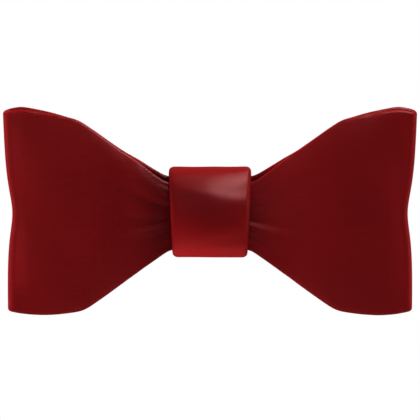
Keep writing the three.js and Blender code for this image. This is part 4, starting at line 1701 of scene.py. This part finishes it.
@dataclass
class Studio:
    """A pale floor, soft lights and a camera, in metres and degrees."""

    elevation: float = 9.0
    distance: float = 0.80
    field_of_view: float = 8.75
    aim: tuple[float, float, float] = (0.0, -0.009, 0.0007)
    floor_drop: float = 0.07
    floor_size: float = 60.0
    floor_grey: float = 0.35
    surroundings: float = 0.03
    lights: tuple[SoftBox, ...] = (
        SoftBox("top_right", (0.20, -0.05, 0.52), 0.16, 1.10),
        SoftBox("front_left", (-0.42, -0.42, 0.08), 0.30, 0.40, Reach.SOFT, Group.WINGS),
        SoftBox("side_left", (-0.60, -0.03, 0.03), 0.30, 2.10, Reach.SOFT, Group.WINGS),
        SoftBox("side_right", (0.60, -0.02, 0.00), 0.30, 1.30, Reach.SOFT, Group.WINGS),
        SoftBox("near_right", (0.023, -0.040, 0.002), 0.016, 0.0008, Reach.SOFT, Group.WINGS),
        SoftBox("knot_front", (0.0, -0.60, 0.10), 0.30, 0.045, Reach.SOFT, Group.KNOT),
        SoftBox("knot_left", (-0.60, -0.04, 0.06), 0.30, 1.10, Reach.SOFT, Group.KNOT),
        SoftBox("knot_right", (0.60, -0.05, 0.02), 0.30, 0.90, Reach.SOFT, Group.KNOT),
        SoftBox("under", (0.0, -0.012, -0.098), 0.10, 0.02),
        SoftBox("under_left", (-0.032, -0.026, -0.068), 0.04, 0.025, Reach.SOFT, Group.KNOT, RED_GLOW),
        SoftBox("under_right", (0.025, -0.022, -0.080), 0.05, 0.010, Reach.SOFT, Group.KNOT, RED_GLOW),
        SoftBox("glint_right", (0.20, -0.18, 0.50), 0.26, 3.1, Reach.GLINT),
        SoftBox("glint_left", (-0.30, -0.50, 0.20), 0.25, 0.14, Reach.GLINT),
        SoftBox("back_left", (-0.40, 0.40, 0.55), 0.40, 2.5),
        SoftBox("back_right", (0.40, 0.40, 0.60), 0.40, 3.5),
        SoftBox("card_above", (0.0, 0.35, 0.70), 0.80, 3.0, Reach.GLINT, Group.METAL),
        SoftBox("card_behind", (0.0, 0.60, -0.35), 1.20, 2.8, Reach.GLINT, Group.METAL),
    )

    def build_floor(self) -> None:
        """Makes the floor: pale, and evenly bright so that it runs into the background."""
        material, tree, shader = new_material("pale_floor")
        shader.inputs["Base Color"].default_value = (*[self.floor_grey] * 3, 1.0)
        shader.inputs["Roughness"].default_value = 0.9
        shader.inputs["Specular IOR Level"].default_value = 0.0
        glow = add_node(tree, "Emission", {"Color": (*WHITE, 1.0), "Strength": 1.0})
        seen = add_node(tree, "LightPath").outputs["Is Camera Ray"]
        both = add_node(tree, "MixShader", {0: seen, 1: shader.outputs[0], 2: glow.outputs[0]})
        tree.links.new(both.outputs[0], tree.nodes["Material Output"].inputs["Surface"])
        half = self.floor_size / 2
        low = CAD_BOX[0].z - self.floor_drop
        mesh = bpy.data.meshes.new("floor")
        corners = [(-half, -half, low), (half, -half, low), (half, half, low), (-half, half, low)]
        mesh.from_pydata(corners, [], [(0, 1, 2, 3)])
        made = bpy.data.objects.new("floor", mesh)
        mesh.materials.append(material)
        made.visible_glossy = False
        made.visible_shadow = False
        bpy.context.scene.collection.objects.link(made)

    def build_world(self) -> None:
        """Makes the surroundings: white where the camera sees them, and a dim grey light."""
        world = bpy.data.worlds.new("studio")
        bpy.context.scene.world = world
        world.use_nodes = True
        tree = world.node_tree
        seen = add_node(tree, "LightPath").outputs["Is Camera Ray"]
        dim = tree.nodes["Background"]
        dim.inputs["Color"].default_value = (*WHITE, 1.0)
        dim.inputs["Strength"].default_value = self.surroundings
        white = add_node(tree, "Background", {"Color": (*WHITE, 1.0), "Strength": 1.0})
        both = add_node(tree, "MixShader", {0: seen, 1: dim.outputs[0], 2: white.outputs[0]})
        tree.links.new(both.outputs[0], tree.nodes["World Output"].inputs["Surface"])

    def build_camera(self, aim: Vector) -> None:
        """Makes the camera, which looks down a little at the bow's front.

        Args:
            aim: The point that it looks at.
        """
        data = bpy.data.cameras.new("camera")
        data.sensor_width = 36.0
        data.lens = data.sensor_width / 2 / math.tan(math.radians(self.field_of_view / 2))
        data.clip_start = 0.01
        made = bpy.data.objects.new("camera", data)
        tilt = math.radians(self.elevation)
        back = Vector((0.0, -math.cos(tilt), math.sin(tilt)))
        made.location = aim + back * self.distance
        made.rotation_mode = "QUATERNION"
        made.rotation_quaternion = (-back).to_track_quat("-Z", "Y")
        bpy.context.scene.collection.objects.link(made)
        bpy.context.scene.camera = made

    def build(self) -> None:
        """Makes the whole studio."""
        aim = Vector(self.aim)
        self.build_floor()
        self.build_world()
        self.build_camera(aim)
        for light in self.lights:
            light.build(aim)
        bpy.context.scene.view_settings.view_transform = "Standard"


def main() -> None:
    """Builds the bow tie and its studio."""
    logging.basicConfig(level=logging.INFO, format="%(name)s %(message)s")
    for part in (Studio(), BowStrip(), Knot(), CollarClip()):
        part.build()


if __name__ == "__main__":
    main()
